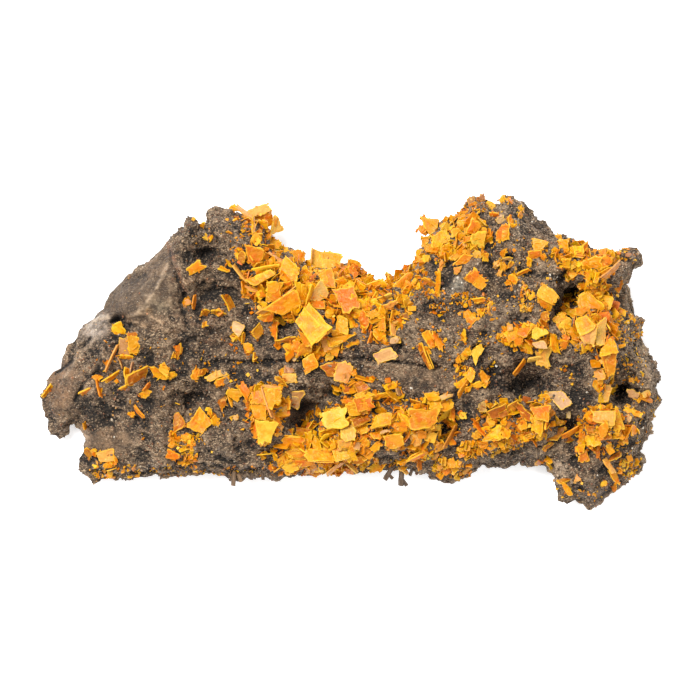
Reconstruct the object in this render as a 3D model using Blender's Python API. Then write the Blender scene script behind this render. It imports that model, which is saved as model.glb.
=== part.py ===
"""Wulfenite crystals on their rock matrix, a hand specimen lying on its back.

The specimen is read off a flat chart laid over it: x runs right, y runs down,
and one chart unit is CHART_UNIT metres. In the model +X is the chart's right,
+Y its top and +Z up, away from the surface that the specimen lies on. The
origin is on that surface, under the middle of the whole specimen.
"""

import math
from collections import namedtuple

import bmesh
import bpy
import numpy as np
from mathutils import Vector, noise
from mathutils.bvhtree import BVHTree
from mathutils.geometry import convex_hull_2d, delaunay_2d_cdt

# Driving dimensions, in metres
MM = 0.001
SPECIMEN_LENGTH = 0.1123
CHART_LENGTH = 624.0
CHART_UNIT = SPECIMEN_LENGTH / CHART_LENGTH
CHART_MIDDLE = (349.0, 350.0)

# The rock: distance between its points, and how its edges round over and under
TOP_SPACING = 2.3 * MM
BACK_SPACING = 4.6 * MM
POINT_NUDGE = 0.28
NUDGE_LENGTH = 0.37
TOP_CLEAR_SHARE = 0.45
BACK_CLEAR_SHARE = 0.3
EDGE_SHARE = 0.42
EDGE_ROUND = 5.5 * MM
BACK_ROUND = 4.8 * MM
BACK_ROUND_VARIES = 1.6 * MM
BACK_VARIES_LENGTH = 9.0 * MM

# The crystals: tablets that stand in a low crust, both cut clear of the rock
PLATE_THICKNESS = 0.55 * MM
PLATE_ROOT = 0.45 * MM
PLATE_MIDDLE_RISE = 1.2 * MM
STEEPEST = 68.0
ROOT_SHARE = 0.84
ROOT_STEP = 2.0 * MM
ROOT_SPACING = 3.7 * MM
ROOT_CLEAR_SHARE = 0.4
ROOT_RISE = 1.2 * MM
ROOT_SINK = 3.0 * MM
GAP = 0.38 * MM
CUTTER_DEPTH = 12.0 * MM
CUTTER_MARGIN = 6.0 * MM

# Heights to look down from, above the rock and past its edge
RAY_START = 0.1
BESIDE_HEIGHT = 8.0 * MM

# What counts as one point, one plane and one place when meshes are cleaned
WELD = 0.002 * MM
FLAT_ANGLE = math.radians(0.2)
SAME_PLACE = 1e-9
INSIDE_TRIANGLES = 1

ROCK_ROUGHNESS = 0.95
CRYSTAL_ROUGHNESS = 0.3
ROCK_COLOUR = (0.085, 0.066, 0.052)
CRYSTAL_COLOURS = {
    "golden": (0.86, 0.36, 0.02),
    "orange": (0.80, 0.23, 0.012),
    "amber": (0.42, 0.12, 0.008),
    "peach": (0.84, 0.40, 0.12),
    "pale": (0.88, 0.56, 0.22),
}

# The rock's outline on the chart, from its left tip over the top and back underneath
OUTLINE = (
    (37, 411), (40, 405), (38, 397), (41, 388), (47, 380), (52, 373), (59, 368), (61, 358), (66, 349),
    (77, 333), (82, 325), (88, 320), (97, 312), (103, 309), (105, 302), (108, 297), (111, 291),
    (118, 284), (122, 279), (131, 273), (134, 268), (143, 262), (152, 256), (163, 247), (170, 240),
    (177, 230), (181, 224), (187, 218), (194, 217), (198, 220), (201, 227), (206, 224), (207, 213),
    (211, 208), (219, 206), (226, 210), (233, 212), (243, 213), (252, 214), (262, 218), (268, 226),
    (270, 236), (276, 245), (286, 250), (297, 257), (308, 263), (322, 266), (338, 268), (347, 264),
    (356, 265), (362, 272), (371, 277), (384, 280), (396, 276), (406, 268), (414, 262), (418, 252),
    (423, 240), (431, 229), (441, 223), (449, 220), (457, 213), (464, 208), (466, 201), (474, 198),
    (480, 197), (481, 192), (485, 192), (487, 200), (494, 206), (500, 205), (504, 196), (510, 190),
    (514, 195), (517, 200), (525, 201), (530, 208), (534, 213), (538, 220), (545, 222), (548, 229),
    (552, 234), (557, 231), (564, 234), (572, 238), (584, 243), (591, 249), (604, 250), (616, 253),
    (622, 247), (630, 246), (637, 248), (641, 255), (639, 262), (633, 268), (630, 276), (627, 284),
    (630, 297), (635, 309), (637, 318), (642, 320), (641, 332), (645, 344), (648, 352), (655, 363),
    (660, 372), (661, 380), (657, 387), (661, 396), (657, 412), (654, 426), (646, 438), (643, 450),
    (645, 461), (643, 468), (632, 477), (618, 490), (606, 500), (597, 508), (591, 511), (584, 504),
    (576, 502), (568, 504), (560, 500), (556, 490), (551, 486), (556, 478), (554, 473), (546, 466),
    (536, 465), (528, 467), (520, 462), (513, 468), (504, 469), (491, 466), (480, 464), (472, 472),
    (463, 479), (454, 482), (445, 483), (437, 480), (430, 473), (418, 472), (410, 471), (407, 476),
    (405, 485), (400, 485), (399, 475), (395, 471), (390, 477), (386, 479), (385, 474), (388, 469),
    (376, 472), (360, 472), (344, 472), (339, 474), (328, 473), (314, 474), (300, 476), (287, 476),
    (276, 480), (266, 477), (253, 481), (246, 478), (236, 484), (230, 479), (216, 474), (196, 475),
    (170, 476), (152, 479), (128, 480), (106, 480), (96, 483), (89, 481), (84, 474), (78, 466),
    (76, 460), (80, 451), (83, 441), (83, 433), (77, 435), (73, 431), (73, 424), (70, 425), (66, 433),
    (58, 439), (50, 435), (45, 429), (45, 421),
)

# Heights of the rock's upper side above its base: chart x, chart y, millimetres
RELIEF = (
    (45, 400, 7.5), (58, 385, 9.0), (56, 425, 6.5), (75, 350, 9.5), (72, 395, 10.5), (90, 328, 10.5),
    (112, 305, 11.0), (135, 282, 12.0), (160, 262, 13.5), (140, 310, 14.5), (168, 290, 16.0),
    (172, 318, 16.5), (188, 325, 17.0), (110, 345, 13.5), (135, 350, 13.0), (100, 385, 12.0),
    (110, 410, 9.5), (135, 385, 13.5), (160, 360, 14.5), (160, 400, 13.0), (190, 228, 15.5),
    (222, 222, 17.0), (206, 252, 10.5), (200, 270, 15.5), (225, 276, 16.5), (208, 297, 11.5),
    (230, 300, 12.5), (210, 320, 17.0), (195, 345, 13.5), (235, 350, 13.5), (245, 232, 16.5),
    (262, 222, 16.0), (262, 262, 17.5), (285, 275, 18.5), (285, 300, 18.5), (300, 262, 15.5),
    (262, 335, 14.5), (285, 345, 15.5), (310, 322, 19.5), (330, 275, 16.5), (350, 300, 18.5),
    (375, 290, 17.0), (375, 320, 18.0), (335, 345, 18.0), (405, 285, 15.5), (410, 330, 17.5),
    (400, 350, 18.5), (380, 358, 18.5), (350, 357, 17.5), (310, 366, 16.0), (260, 362, 14.5),
    (220, 370, 14.0), (195, 372, 14.0), (188, 405, 9.5), (232, 408, 11.0), (205, 425, 13.0),
    (240, 395, 15.0), (268, 398, 17.5), (268, 430, 16.5), (295, 385, 14.5), (312, 410, 8.0),
    (300, 425, 10.0), (332, 418, 15.5), (340, 372, 17.0), (330, 390, 12.0), (360, 400, 17.5),
    (400, 372, 18.0), (430, 380, 18.0), (390, 403, 15.0), (420, 418, 18.5), (390, 440, 16.5),
    (350, 440, 15.5), (300, 445, 13.5), (290, 462, 12.0), (340, 462, 12.5), (380, 463, 12.0),
    (420, 460, 12.5), (450, 425, 14.5), (445, 470, 10.5), (480, 450, 13.0), (100, 440, 7.5),
    (95, 460, 8.0), (130, 440, 9.5), (130, 465, 9.0), (175, 440, 13.0), (175, 462, 11.5),
    (225, 440, 14.0), (225, 465, 11.5), (255, 460, 11.5), (440, 235, 15.5), (432, 262, 17.0),
    (465, 230, 18.0), (480, 205, 15.0), (510, 205, 15.0), (510, 240, 18.5), (455, 280, 20.0),
    (480, 285, 21.0), (430, 310, 18.5), (470, 320, 20.0), (500, 270, 18.5), (510, 300, 20.5),
    (450, 350, 19.0), (500, 350, 18.5), (475, 380, 18.0), (540, 250, 18.0), (560, 255, 18.0),
    (595, 260, 19.0), (628, 257, 17.0), (545, 300, 19.5), (570, 300, 9.0), (585, 325, 21.5),
    (608, 350, 20.5), (530, 340, 19.5), (560, 370, 16.5), (600, 385, 18.0), (525, 385, 11.0),
    (508, 410, 15.5), (540, 415, 18.0), (575, 395, 15.0), (565, 430, 11.0), (600, 425, 18.5),
    (620, 390, 10.0), (640, 375, 14.5), (630, 345, 14.0), (622, 300, 10.0), (645, 405, 13.5),
    (635, 430, 13.5), (630, 465, 11.0), (595, 470, 13.5), (605, 490, 10.5), (575, 490, 10.0),
    (500, 435, 16.0), (520, 455, 11.5), (545, 455, 11.5),
)
RELIEF_SOFTNESS = 9.0

# Pits: chart x, chart y, radius in chart units, depth in millimetres
PITS = (
    (119, 319, 7, 4.5), (204, 254, 9, 3.0), (190, 252, 7, 2.0), (206, 290, 9, 2.0), (196, 310, 6, 2.5),
    (150, 361, 5, 2.0), (107, 420, 7, 2.5), (190, 405, 10, 2.5), (230, 405, 8, 2.0), (312, 412, 14, 3.0),
    (302, 425, 8, 2.5), (282, 322, 7, 3.0), (265, 258, 7, 2.0), (435, 312, 7, 2.5), (400, 345, 7, 2.5),
    (490, 373, 7, 3.0), (496, 353, 5, 2.0), (445, 430, 8, 3.0), (524, 275, 7, 3.5), (508, 256, 7, 2.5),
    (570, 298, 9, 5.5), (524, 342, 6, 3.0), (526, 386, 12, 4.0), (573, 432, 8, 4.0), (618, 390, 10, 4.0),
    (607, 333, 6, 2.5), (345, 320, 5, 1.5), (388, 403, 7, 2.0), (330, 392, 10, 2.0), (575, 462, 9, 2.0),
)

# Lumps and knobs: chart x, chart y, radius in chart units, height in millimetres
LUMPS = (
    (190, 226, 9, 2.0), (222, 220, 14, 2.2), (628, 257, 11, 2.4), (195, 334, 10, 1.2), (115, 395, 8, 1.2),
    (60, 418, 9, 1.4), (512, 205, 11, 1.6), (475, 206, 9, 1.4), (640, 330, 9, 1.4), (650, 378, 10, 1.8),
    (465, 260, 12, 1.4), (500, 315, 16, 1.6), (225, 445, 13, 1.2), (240, 462, 9, 1.0), (560, 350, 12, 1.0),
    (590, 372, 11, 1.2), (635, 440, 11, 1.4), (535, 275, 9, 1.2), (420, 365, 16, 1.0), (150, 335, 12, 1.2),
    (88, 472, 7, 1.0), (450, 472, 9, 1.2), (140, 425, 10, 1.0), (540, 226, 8, 1.6), (600, 497, 8, 1.0),
)

# Cracks and the feet of ledges: line on the chart, half width in chart units, depth in millimetres
CRACKS = (
    (((213, 363), (250, 364), (300, 363), (345, 361), (392, 362), (440, 368)), 4.0, 1.6),
    (((55, 373), (66, 366), (76, 354), (84, 338)), 4.0, 1.4),
    (((175, 330), (160, 326), (135, 324), (112, 322)), 4.5, 1.8),
    (((186, 290), (180, 306), (186, 330)), 4.0, 1.0),
    (((70, 425), (80, 405), (95, 398)), 4.0, 1.2),
    (((470, 345), (485, 325), (495, 290), (492, 262)), 5.0, 1.0),
)

# The smooth facet on the left: chart middle, half widths, and how much roughness it keeps
FACET_MIDDLE = (128.0, 298.0)
FACET_REACH = (52.0, 36.0)
FACET_ROUGHNESS = 0.3

# Roughness of the rock: noise length in metres, height in metres
ROUGHNESS = ((7.0 * MM, 1.1 * MM), (3.2 * MM, 0.8 * MM))
LAYER_SHIFT = 3.7

Plate = namedtuple("Plate", "corners toward slope lift colour")


def plate(x1, y1, x2, y2, x3, y3, x4, y4, toward, slope, lift, colour="golden"):
    """A tablet: its four corners on the chart, the compass angle its face looks to, its slope
    in degrees, and how far it stands clear of the rock in millimetres."""
    return Plate(((x1, y1), (x2, y2), (x3, y3), (x4, y4)), toward, slope, lift * MM, colour)


# Tablets that have grown together, by where they sit on the rock
CLUSTERS = {
    "crystals_left_hollow": (
        plate(127, 336, 142, 337, 139, 354, 130, 353, 320, 18, 0.3),
        plate(120, 338, 131, 337, 131, 355, 119, 356, 200, 20, 0, "peach"),
    ),
    "crystals_left_blades": (
        plate(128, 376, 149, 365, 146, 381, 128, 387, 315, 50, 0.2, "amber"),
        plate(104, 381, 127, 366, 129, 368, 108, 383, 320, 60, 0, "orange"),
    ),
    "crystals_left_leaf": (
        plate(150, 369, 155, 367, 171, 378, 158, 379, 230, 25, 0, "orange"),
        plate(158, 369, 165, 361, 170, 370, 168, 377, 60, 30, 0.4, "pale"),
    ),
    "crystals_foot_left": (
        plate(96, 453, 113, 448, 114, 461, 99, 462, 250, 18, 0.2, "peach"),
    ),
    "crystals_lower_pair": (
        plate(187, 426, 200, 407, 213, 421, 203, 434, 45, 15, 0.5, "orange"),
        plate(174, 414, 179, 412, 187, 425, 173, 434, 130, 25, 0.3, "amber"),
    ),
    "crystals_cream_bar": (
        plate(205, 377, 224, 369, 228, 374, 208, 383, 110, 20, 0.3, "peach"),
        plate(214, 381, 230, 375, 229, 383, 217, 387, 300, 30, 0, "orange"),
    ),
    "crystals_hollow_shell": (
        plate(186, 270, 199, 261, 206, 268, 191, 276, 240, 22, 0.2),
    ),
    "crystals_dark_kite": (
        plate(222, 295, 229, 295, 237, 310, 231, 314, 20, 50, 0.3, "amber"),
    ),
    "crystals_peak": (
        plate(243, 210, 268, 203, 272, 212, 252, 217, 80, 30, 0.8, "peach"),
        plate(253, 217, 272, 212, 274, 225, 256, 229, 300, 30, 0.5, "orange"),
        plate(274, 215, 278, 217, 283, 230, 270, 236, 350, 35, 0, "peach"),
        plate(258, 220, 267, 221, 269, 231, 260, 233, 250, 30, 0.8),
    ),
    "crystals_upper_left_stack": (
        plate(246, 246, 267, 250, 258, 269, 249, 261, 290, 22, 0.5, "orange"),
        plate(261, 252, 267, 249, 270, 262, 262, 263, 340, 40, 0.3, "orange"),
    ),
    "crystals_upper_left_fan": (
        plate(286, 256, 300, 270, 294, 285, 278, 275, 170, 18, 1.6),
        plate(246, 280, 271, 270, 276, 275, 254, 287, 120, 18, 1),
        plate(268, 283, 283, 281, 282, 301, 267, 302, 250, 22, 1),
        plate(262, 311, 296, 288, 302, 306, 285, 315, 305, 22, 1.4, "orange"),
        plate(296, 282, 309, 287, 305, 306, 297, 300, 0, 35, 1),
    ),
    "crystals_pink_flake": (
        plate(233, 319, 246, 326, 239, 338, 232, 330, 200, 15, 0.3, "pale"),
    ),
    "crystals_hanging_leaves": (
        plate(257, 317, 270, 314, 279, 322, 262, 321, 280, 35, 0.6),
        plate(251, 333, 261, 321, 264, 333, 258, 340, 10, 30, 0.2, "amber"),
        plate(270, 322, 279, 321, 276, 342, 270, 331, 170, 35, 0.2, "orange"),
    ),
    "crystals_tall_kite": (
        plate(309, 302, 323, 323, 314, 348, 296, 322, 140, 16, 2),
        plate(311, 322, 332, 328, 326, 338, 312, 341, 280, 22, 1.6, "orange"),
        plate(289, 342, 299, 339, 304, 350, 291, 353, 200, 22, 0.4),
        plate(300, 345, 312, 341, 311, 353, 297, 358, 290, 25, 0.5, "orange"),
        plate(277, 341, 290, 337, 300, 338, 289, 345, 280, 45, 0.5, "amber"),
        plate(299, 331, 312, 337, 311, 347, 304, 345, 200, 35, 1.2),
    ),
    "crystals_round_leaf": (
        plate(302, 360, 314, 353, 319, 366, 305, 375, 250, 12, 0.4),
    ),
    "crystals_top_pale": (
        plate(312, 248, 343, 253, 336, 275, 313, 267, 80, 16, 1, "pale"),
        plate(319, 271, 332, 268, 336, 289, 322, 286, 100, 20, 1.4),
        plate(321, 281, 331, 296, 318, 302, 308, 299, 300, 18, 1.8, "peach"),
        plate(336, 276, 342, 265, 349, 267, 349, 281, 110, 35, 0.4, "amber"),
        plate(348, 266, 355, 265, 358, 275, 352, 284, 60, 35, 0.4, "orange"),
    ),
    "crystals_centre_tangle": (
        plate(334, 291, 353, 288, 361, 307, 343, 313, 160, 12, 1.4, "orange"),
        plate(350, 294, 367, 303, 362, 311, 349, 309, 310, 25, 1),
        plate(364, 313, 374, 310, 381, 314, 370, 320, 100, 30, 0.8),
        plate(376, 318, 385, 318, 385, 331, 377, 330, 200, 25, 0.8),
        plate(357, 318, 363, 309, 371, 322, 364, 334, 210, 25, 0.6, "orange"),
        plate(382, 306, 395, 301, 397, 304, 386, 314, 310, 35, 0.5, "peach"),
        plate(371, 331, 380, 327, 387, 335, 378, 342, 40, 28, 0.4, "orange"),
    ),
    "crystals_long_golden": (
        plate(357, 288, 383, 279, 389, 287, 366, 295, 290, 22, 0.8),
        plate(393, 286, 411, 270, 415, 278, 399, 291, 320, 20, 1),
    ),
    "crystals_window_plate": (
        plate(338, 315, 348, 319, 348, 335, 335, 332, 170, 22, 0.8, "pale"),
        plate(321, 341, 329, 336, 337, 346, 325, 353, 200, 20, 0.4, "peach"),
        plate(328, 343, 340, 345, 338, 356, 329, 356, 280, 25, 0.3),
        plate(326, 338, 357, 333, 345, 341, 330, 347, 110, 30, 0.8),
    ),
    "crystals_pink_flat": (
        plate(372, 354, 391, 347, 398, 358, 378, 364, 270, 12, 0.3, "pale"),
    ),
    "crystals_paired_orange": (
        plate(421, 334, 427, 330, 438, 344, 430, 349, 30, 30, 0.5, "orange"),
        plate(430, 334, 434, 332, 445, 345, 439, 351, 30, 30, 0.3, "orange"),
        plate(415, 343, 421, 343, 431, 368, 429, 370, 200, 55, 0.2, "amber"),
    ),
    "crystals_left_stack": (
        plate(263, 388, 281, 389, 282, 402, 268, 409, 40, 15, 1.4),
        plate(252, 392, 266, 389, 269, 405, 252, 403, 160, 15, 1, "orange"),
        plate(250, 403, 267, 404, 266, 420, 255, 419, 200, 22, 1.2),
        plate(256, 420, 276, 422, 271, 442, 259, 443, 270, 12, 1.4, "pale"),
    ),
    "crystals_tan_window": (
        plate(286, 390, 305, 392, 298, 409, 290, 406, 280, 20, 0.4, "peach"),
        plate(282, 374, 296, 374, 297, 382, 284, 384, 270, 20, 0.3, "peach"),
        plate(284, 364, 296, 366, 294, 375, 284, 374, 90, 20, 0, "peach"),
    ),
    "crystals_ragged_golden": (
        plate(237, 386, 243, 382, 252, 392, 247, 401, 60, 20, 0.8, "orange"),
        plate(226, 394, 229, 388, 246, 390, 238, 402, 250, 20, 0.6),
        plate(213, 403, 224, 395, 229, 403, 221, 413, 230, 25, 0.2, "amber"),
    ),
    "crystals_lower_mass": (
        plate(295, 427, 312, 429, 311, 437, 296, 436, 90, 35, 0.2, "amber"),
        plate(282, 436, 305, 438, 303, 449, 285, 449, 270, 25, 0.4, "orange"),
        plate(304, 433, 311, 431, 312, 447, 306, 447, 200, 35, 0.8),
        plate(274, 458, 287, 452, 298, 469, 289, 476, 230, 18, 0.8, "pale"),
        plate(284, 450, 318, 450, 316, 458, 292, 459, 280, 22, 0.4),
        plate(291, 460, 320, 458, 318, 464, 296, 468, 280, 40, 0.3, "orange"),
        plate(306, 449, 332, 449, 334, 461, 308, 461, 60, 15, 1.1),
        plate(330, 445, 347, 446, 350, 458, 336, 461, 100, 20, 1.4, "pale"),
        plate(349, 446, 352, 443, 358, 460, 346, 461, 290, 30, 1.6),
        plate(352, 457, 363, 456, 369, 462, 354, 465, 280, 30, 0.6),
        plate(333, 462, 343, 463, 341, 473, 330, 473, 270, 55, 0, "amber"),
        plate(320, 411, 344, 405, 348, 425, 324, 429, 150, 14, 1, "pale"),
        plate(318, 431, 343, 426, 345, 430, 323, 437, 290, 45, 0.2),
        plate(351, 418, 367, 415, 371, 420, 354, 427, 80, 30, 0.4, "amber"),
        plate(353, 428, 366, 423, 370, 430, 357, 435, 100, 30, 0.2, "orange"),
        plate(340, 427, 354, 424, 356, 438, 343, 442, 110, 22, 0.6, "peach"),
        plate(337, 440, 351, 437, 352, 449, 339, 450, 250, 18, 0.8, "peach"),
        plate(311, 436, 318, 434, 322, 450, 314, 452, 190, 30, 0.6),
        plate(370, 462, 386, 463, 382, 471, 370, 474, 250, 20, 0.4),
    ),
    "crystals_triangle_wedge": (
        plate(320, 365, 338, 362, 339, 377, 328, 376, 230, 22, 0.2, "amber"),
        plate(337, 362, 353, 364, 348, 385, 333, 378, 290, 20, 0.3, "peach"),
    ),
    "crystals_disc_stack": (
        plate(352, 398, 371, 396, 375, 407, 358, 412, 330, 14, 1.4, "orange"),
        plate(353, 395, 366, 389, 375, 395, 360, 402, 100, 25, 1),
        plate(340, 384, 352, 383, 352, 392, 344, 393, 110, 35, 0.2, "amber"),
    ),
    "crystals_facing_pair": (
        plate(370, 428, 376, 415, 393, 411, 391, 424, 110, 22, 0.8),
        plate(381, 435, 402, 432, 404, 446, 387, 450, 280, 12, 0.6, "orange"),
    ),
    "crystals_wide_golden": (
        plate(405, 409, 438, 407, 436, 428, 411, 428, 250, 12, 1.2, "orange"),
        plate(395, 417, 400, 407, 405, 412, 406, 424, 190, 30, 0.4),
        plate(398, 412, 408, 417, 411, 428, 402, 424, 200, 35, 0.5),
        plate(423, 393, 436, 391, 440, 399, 428, 401, 90, 30, 0.6),
        plate(428, 400, 441, 398, 443, 408, 430, 409, 70, 25, 0.9),
        plate(438, 400, 452, 399, 453, 407, 440, 414, 60, 25, 0.6),
    ),
    "crystals_crest": (
        plate(423, 218, 440, 219, 438, 231, 430, 237, 110, 22, 0.8, "peach"),
        plate(415, 234, 418, 225, 426, 225, 424, 236, 170, 28, 0.2, "orange"),
        plate(430, 237, 446, 229, 449, 241, 433, 249, 100, 18, 1),
        plate(464, 235, 472, 219, 481, 225, 476, 235, 330, 25, 1, "orange"),
        plate(470, 236, 485, 233, 483, 250, 472, 247, 340, 18, 1, "pale"),
    ),
    "crystals_lone_tablet": (
        plate(463, 279, 473, 269, 487, 282, 480, 291, 300, 15, 0.6, "orange"),
    ),
    "crystals_square_orange": (
        plate(497, 226, 508, 225, 508, 240, 495, 242, 200, 18, 0.5, "orange"),
    ),
    "crystals_corner_curl": (
        plate(531, 239, 549, 242, 541, 250, 531, 251, 90, 15, 0.5, "pale"),
        plate(526, 253, 541, 250, 540, 257, 528, 261, 290, 30, 0.4, "orange"),
    ),
    "crystals_pale_tablet": (
        plate(542, 283, 559, 297, 551, 305, 534, 297, 40, 16, 0.9, "pale"),
        plate(536, 298, 552, 305, 549, 312, 539, 306, 260, 40, 0.2),
    ),
    "crystals_north_east": (
        plate(557, 239, 566, 241, 568, 252, 559, 255, 200, 20, 0.5),
        plate(568, 247, 582, 246, 583, 258, 570, 258, 80, 20, 0.4),
        plate(580, 262, 600, 256, 601, 269, 582, 270, 250, 20, 0.8),
        plate(599, 258, 608, 256, 617, 262, 600, 268, 60, 25, 0.9, "orange"),
        plate(585, 253, 606, 248, 615, 253, 598, 258, 100, 35, 0.4),
        plate(585, 270, 590, 268, 590, 284, 584, 288, 190, 40, 0.4),
        plate(598, 270, 612, 268, 606, 279, 600, 277, 300, 30, 0.5),
    ),
    "crystals_corner_wedge": (
        plate(609, 277, 625, 279, 620, 290, 617, 297, 20, 28, 0.4, "orange"),
    ),
    "crystals_rosette": (
        plate(578, 292, 588, 290, 601, 306, 573, 308, 100, 14, 1.8, "pale"),
        plate(572, 320, 584, 316, 596, 328, 577, 338, 150, 14, 2.2),
        plate(577, 336, 596, 324, 592, 345, 582, 344, 280, 18, 1.9, "peach"),
        plate(551, 319, 561, 312, 570, 321, 557, 328, 140, 20, 0.8),
        plate(557, 321, 568, 319, 570, 327, 559, 329, 250, 22, 1, "pale"),
        plate(573, 308, 588, 309, 592, 316, 574, 316, 90, 30, 1.2),
        plate(595, 324, 605, 316, 603, 345, 593, 346, 20, 30, 1.2, "peach"),
        plate(601, 308, 607, 310, 615, 330, 604, 327, 40, 35, 0.8, "orange"),
        plate(600, 345, 612, 336, 616, 352, 598, 356, 100, 25, 0.9),
        plate(599, 352, 615, 349, 613, 372, 604, 378, 250, 20, 0.9, "orange"),
        plate(592, 371, 599, 367, 605, 377, 594, 381, 170, 22, 0.3, "peach"),
        plate(600, 383, 611, 386, 607, 401, 597, 402, 300, 18, 0.3, "peach"),
    ),
    "crystals_star_cluster": (
        plate(502, 333, 516, 326, 517, 337, 508, 344, 200, 22, 0.7),
        plate(514, 327, 531, 328, 524, 338, 516, 336, 100, 22, 0.9, "orange"),
        plate(511, 336, 523, 335, 521, 345, 514, 347, 270, 25, 0.9),
        plate(530, 328, 541, 326, 547, 334, 532, 341, 80, 18, 0.9, "pale"),
        plate(531, 343, 543, 340, 547, 349, 534, 348, 270, 14, 1, "pale"),
        plate(534, 350, 549, 349, 549, 369, 536, 365, 250, 20, 0.5, "peach"),
        plate(549, 334, 555, 334, 559, 353, 550, 352, 20, 35, 0.4),
    ),
    "crystals_dark_square": (
        plate(463, 312, 472, 310, 476, 320, 468, 329, 200, 22, 0.3, "orange"),
    ),
    "crystals_pale_leaf": (
        plate(470, 350, 481, 344, 483, 350, 475, 364, 60, 20, 0.3, "pale"),
        plate(459, 352, 469, 346, 470, 355, 462, 361, 200, 30, 0.1),
    ),
    "crystals_flower": (
        plate(463, 375, 469, 367, 475, 372, 470, 383, 130, 25, 0.6),
        plate(477, 376, 481, 370, 489, 378, 486, 386, 30, 22, 0.6, "orange"),
    ),
    "crystals_dark_wing": (
        plate(485, 412, 505, 403, 508, 415, 491, 419, 300, 28, 0.4, "amber"),
        plate(506, 406, 519, 398, 519, 409, 508, 413, 300, 30, 0.4, "amber"),
        plate(514, 405, 519, 403, 533, 419, 524, 421, 230, 35, 0.5, "amber"),
        plate(528, 407, 549, 405, 547, 421, 535, 419, 90, 15, 0.9, "orange"),
        plate(528, 412, 543, 417, 540, 437, 532, 430, 210, 18, 0.8),
        plate(515, 421, 526, 419, 526, 429, 518, 430, 200, 25, 0.2, "orange"),
        plate(517, 433, 530, 429, 531, 440, 520, 439, 260, 20, 0.4),
        plate(478, 400, 486, 398, 485, 412, 478, 411, 180, 30, 0, "peach"),
    ),
    "crystals_low_triangles": (
        plate(482, 439, 500, 423, 502, 439, 484, 440, 110, 22, 0.6),
        plate(477, 428, 490, 425, 488, 434, 480, 436, 200, 22, 0.4),
        plate(500, 427, 511, 429, 508, 438, 501, 438, 60, 25, 0.4),
    ),
    "crystals_low_right_fans": (
        plate(545, 440, 553, 429, 566, 427, 557, 440, 120, 28, 0.4, "amber"),
    ),
    "crystals_pink_tablet": (
        plate(545, 393, 560, 390, 572, 402, 560, 409, 50, 16, 0.4, "pale"),
    ),
    "crystals_east_cluster": (
        plate(591, 411, 614, 410, 612, 426, 592, 421, 100, 15, 1, "peach"),
        plate(593, 427, 604, 420, 611, 431, 600, 440, 250, 18, 1.1),
        plate(583, 436, 596, 433, 599, 444, 588, 449, 200, 20, 0.9),
        plate(611, 411, 616, 406, 623, 428, 613, 430, 20, 30, 0.8),
        plate(577, 441, 583, 425, 590, 430, 580, 448, 200, 35, 0.5, "orange"),
        plate(579, 452, 587, 449, 588, 460, 577, 463, 200, 28, 0.3, "amber"),
    ),
}


def clear_scene():
    for item in list(bpy.data.objects):
        bpy.data.objects.remove(item, do_unlink=True)


def chart_to_world(x, y):
    return (x - CHART_MIDDLE[0]) * CHART_UNIT, (CHART_MIDDLE[1] - y) * CHART_UNIT


def world_to_chart(points):
    across = points[:, 0] / CHART_UNIT + CHART_MIDDLE[0]
    down = CHART_MIDDLE[1] - points[:, 1] / CHART_UNIT
    return np.column_stack((across, down))


def material(name, colour, roughness):
    made = bpy.data.materials.new(name)
    made.use_nodes = True
    shader = made.node_tree.nodes["Principled BSDF"]
    shader.inputs["Base Color"].default_value = (*colour, 1.0)
    shader.inputs["Roughness"].default_value = roughness
    shader.inputs["Metallic"].default_value = 0.0
    return made


def new_object(name, mesh):
    made = bpy.data.objects.new(name, mesh)
    bpy.context.scene.collection.objects.link(made)
    return made


def mesh_from(name, vertices, faces):
    """A mesh whose faces all point out."""
    mesh = bpy.data.meshes.new(name)
    mesh.from_pydata([tuple(v) for v in vertices], [], faces)
    shell = bmesh.new()
    shell.from_mesh(mesh)
    bmesh.ops.recalc_face_normals(shell, faces=shell.faces)
    shell.to_mesh(mesh)
    shell.free()
    return mesh


def distance_to_line(points, line, closed):
    """Distance from each point to a line of straight stretches."""
    ends = np.array(line, dtype=float)
    starts = ends if closed else ends[:-1]
    stops = np.roll(ends, -1, axis=0) if closed else ends[1:]
    nearest = np.full(len(points), np.inf)
    for start, stop in zip(starts, stops):
        along = stop - start
        share = np.clip(((points - start) @ along) / (along @ along), 0.0, 1.0)
        distance = np.linalg.norm(points - start - share[:, None] * along, axis=1)
        nearest = np.minimum(nearest, distance)
    return nearest


def inside_outline(points, ring):
    """Which points lie inside a closed line, by how often a ray to the left crosses it."""
    inside = np.zeros(len(points), dtype=bool)
    for (x1, y1), (x2, y2) in zip(ring, np.roll(ring, -1, axis=0)):
        if y1 == y2:
            continue
        crosses = (points[:, 1] > y1) != (points[:, 1] > y2)
        reach = (x2 - x1) * (points[:, 1] - y1) / (y2 - y1) + x1
        inside ^= crosses & (points[:, 0] < reach)
    return inside


def bump(x, y, middle_x, middle_y, radius):
    """1 at the middle of a round bump, falling smoothly to 0 past its radius."""
    return math.exp(-((x - middle_x) ** 2 + (y - middle_y) ** 2) / radius ** 2)


def roughness_at(x, y):
    """Height of the rock's roughness at a place in metres."""
    height = 0.0
    for number, (length, size) in enumerate(ROUGHNESS, start=1):
        height += size * noise.noise(Vector((x / length, y / length, number * LAYER_SHIFT)))
    return height


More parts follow.
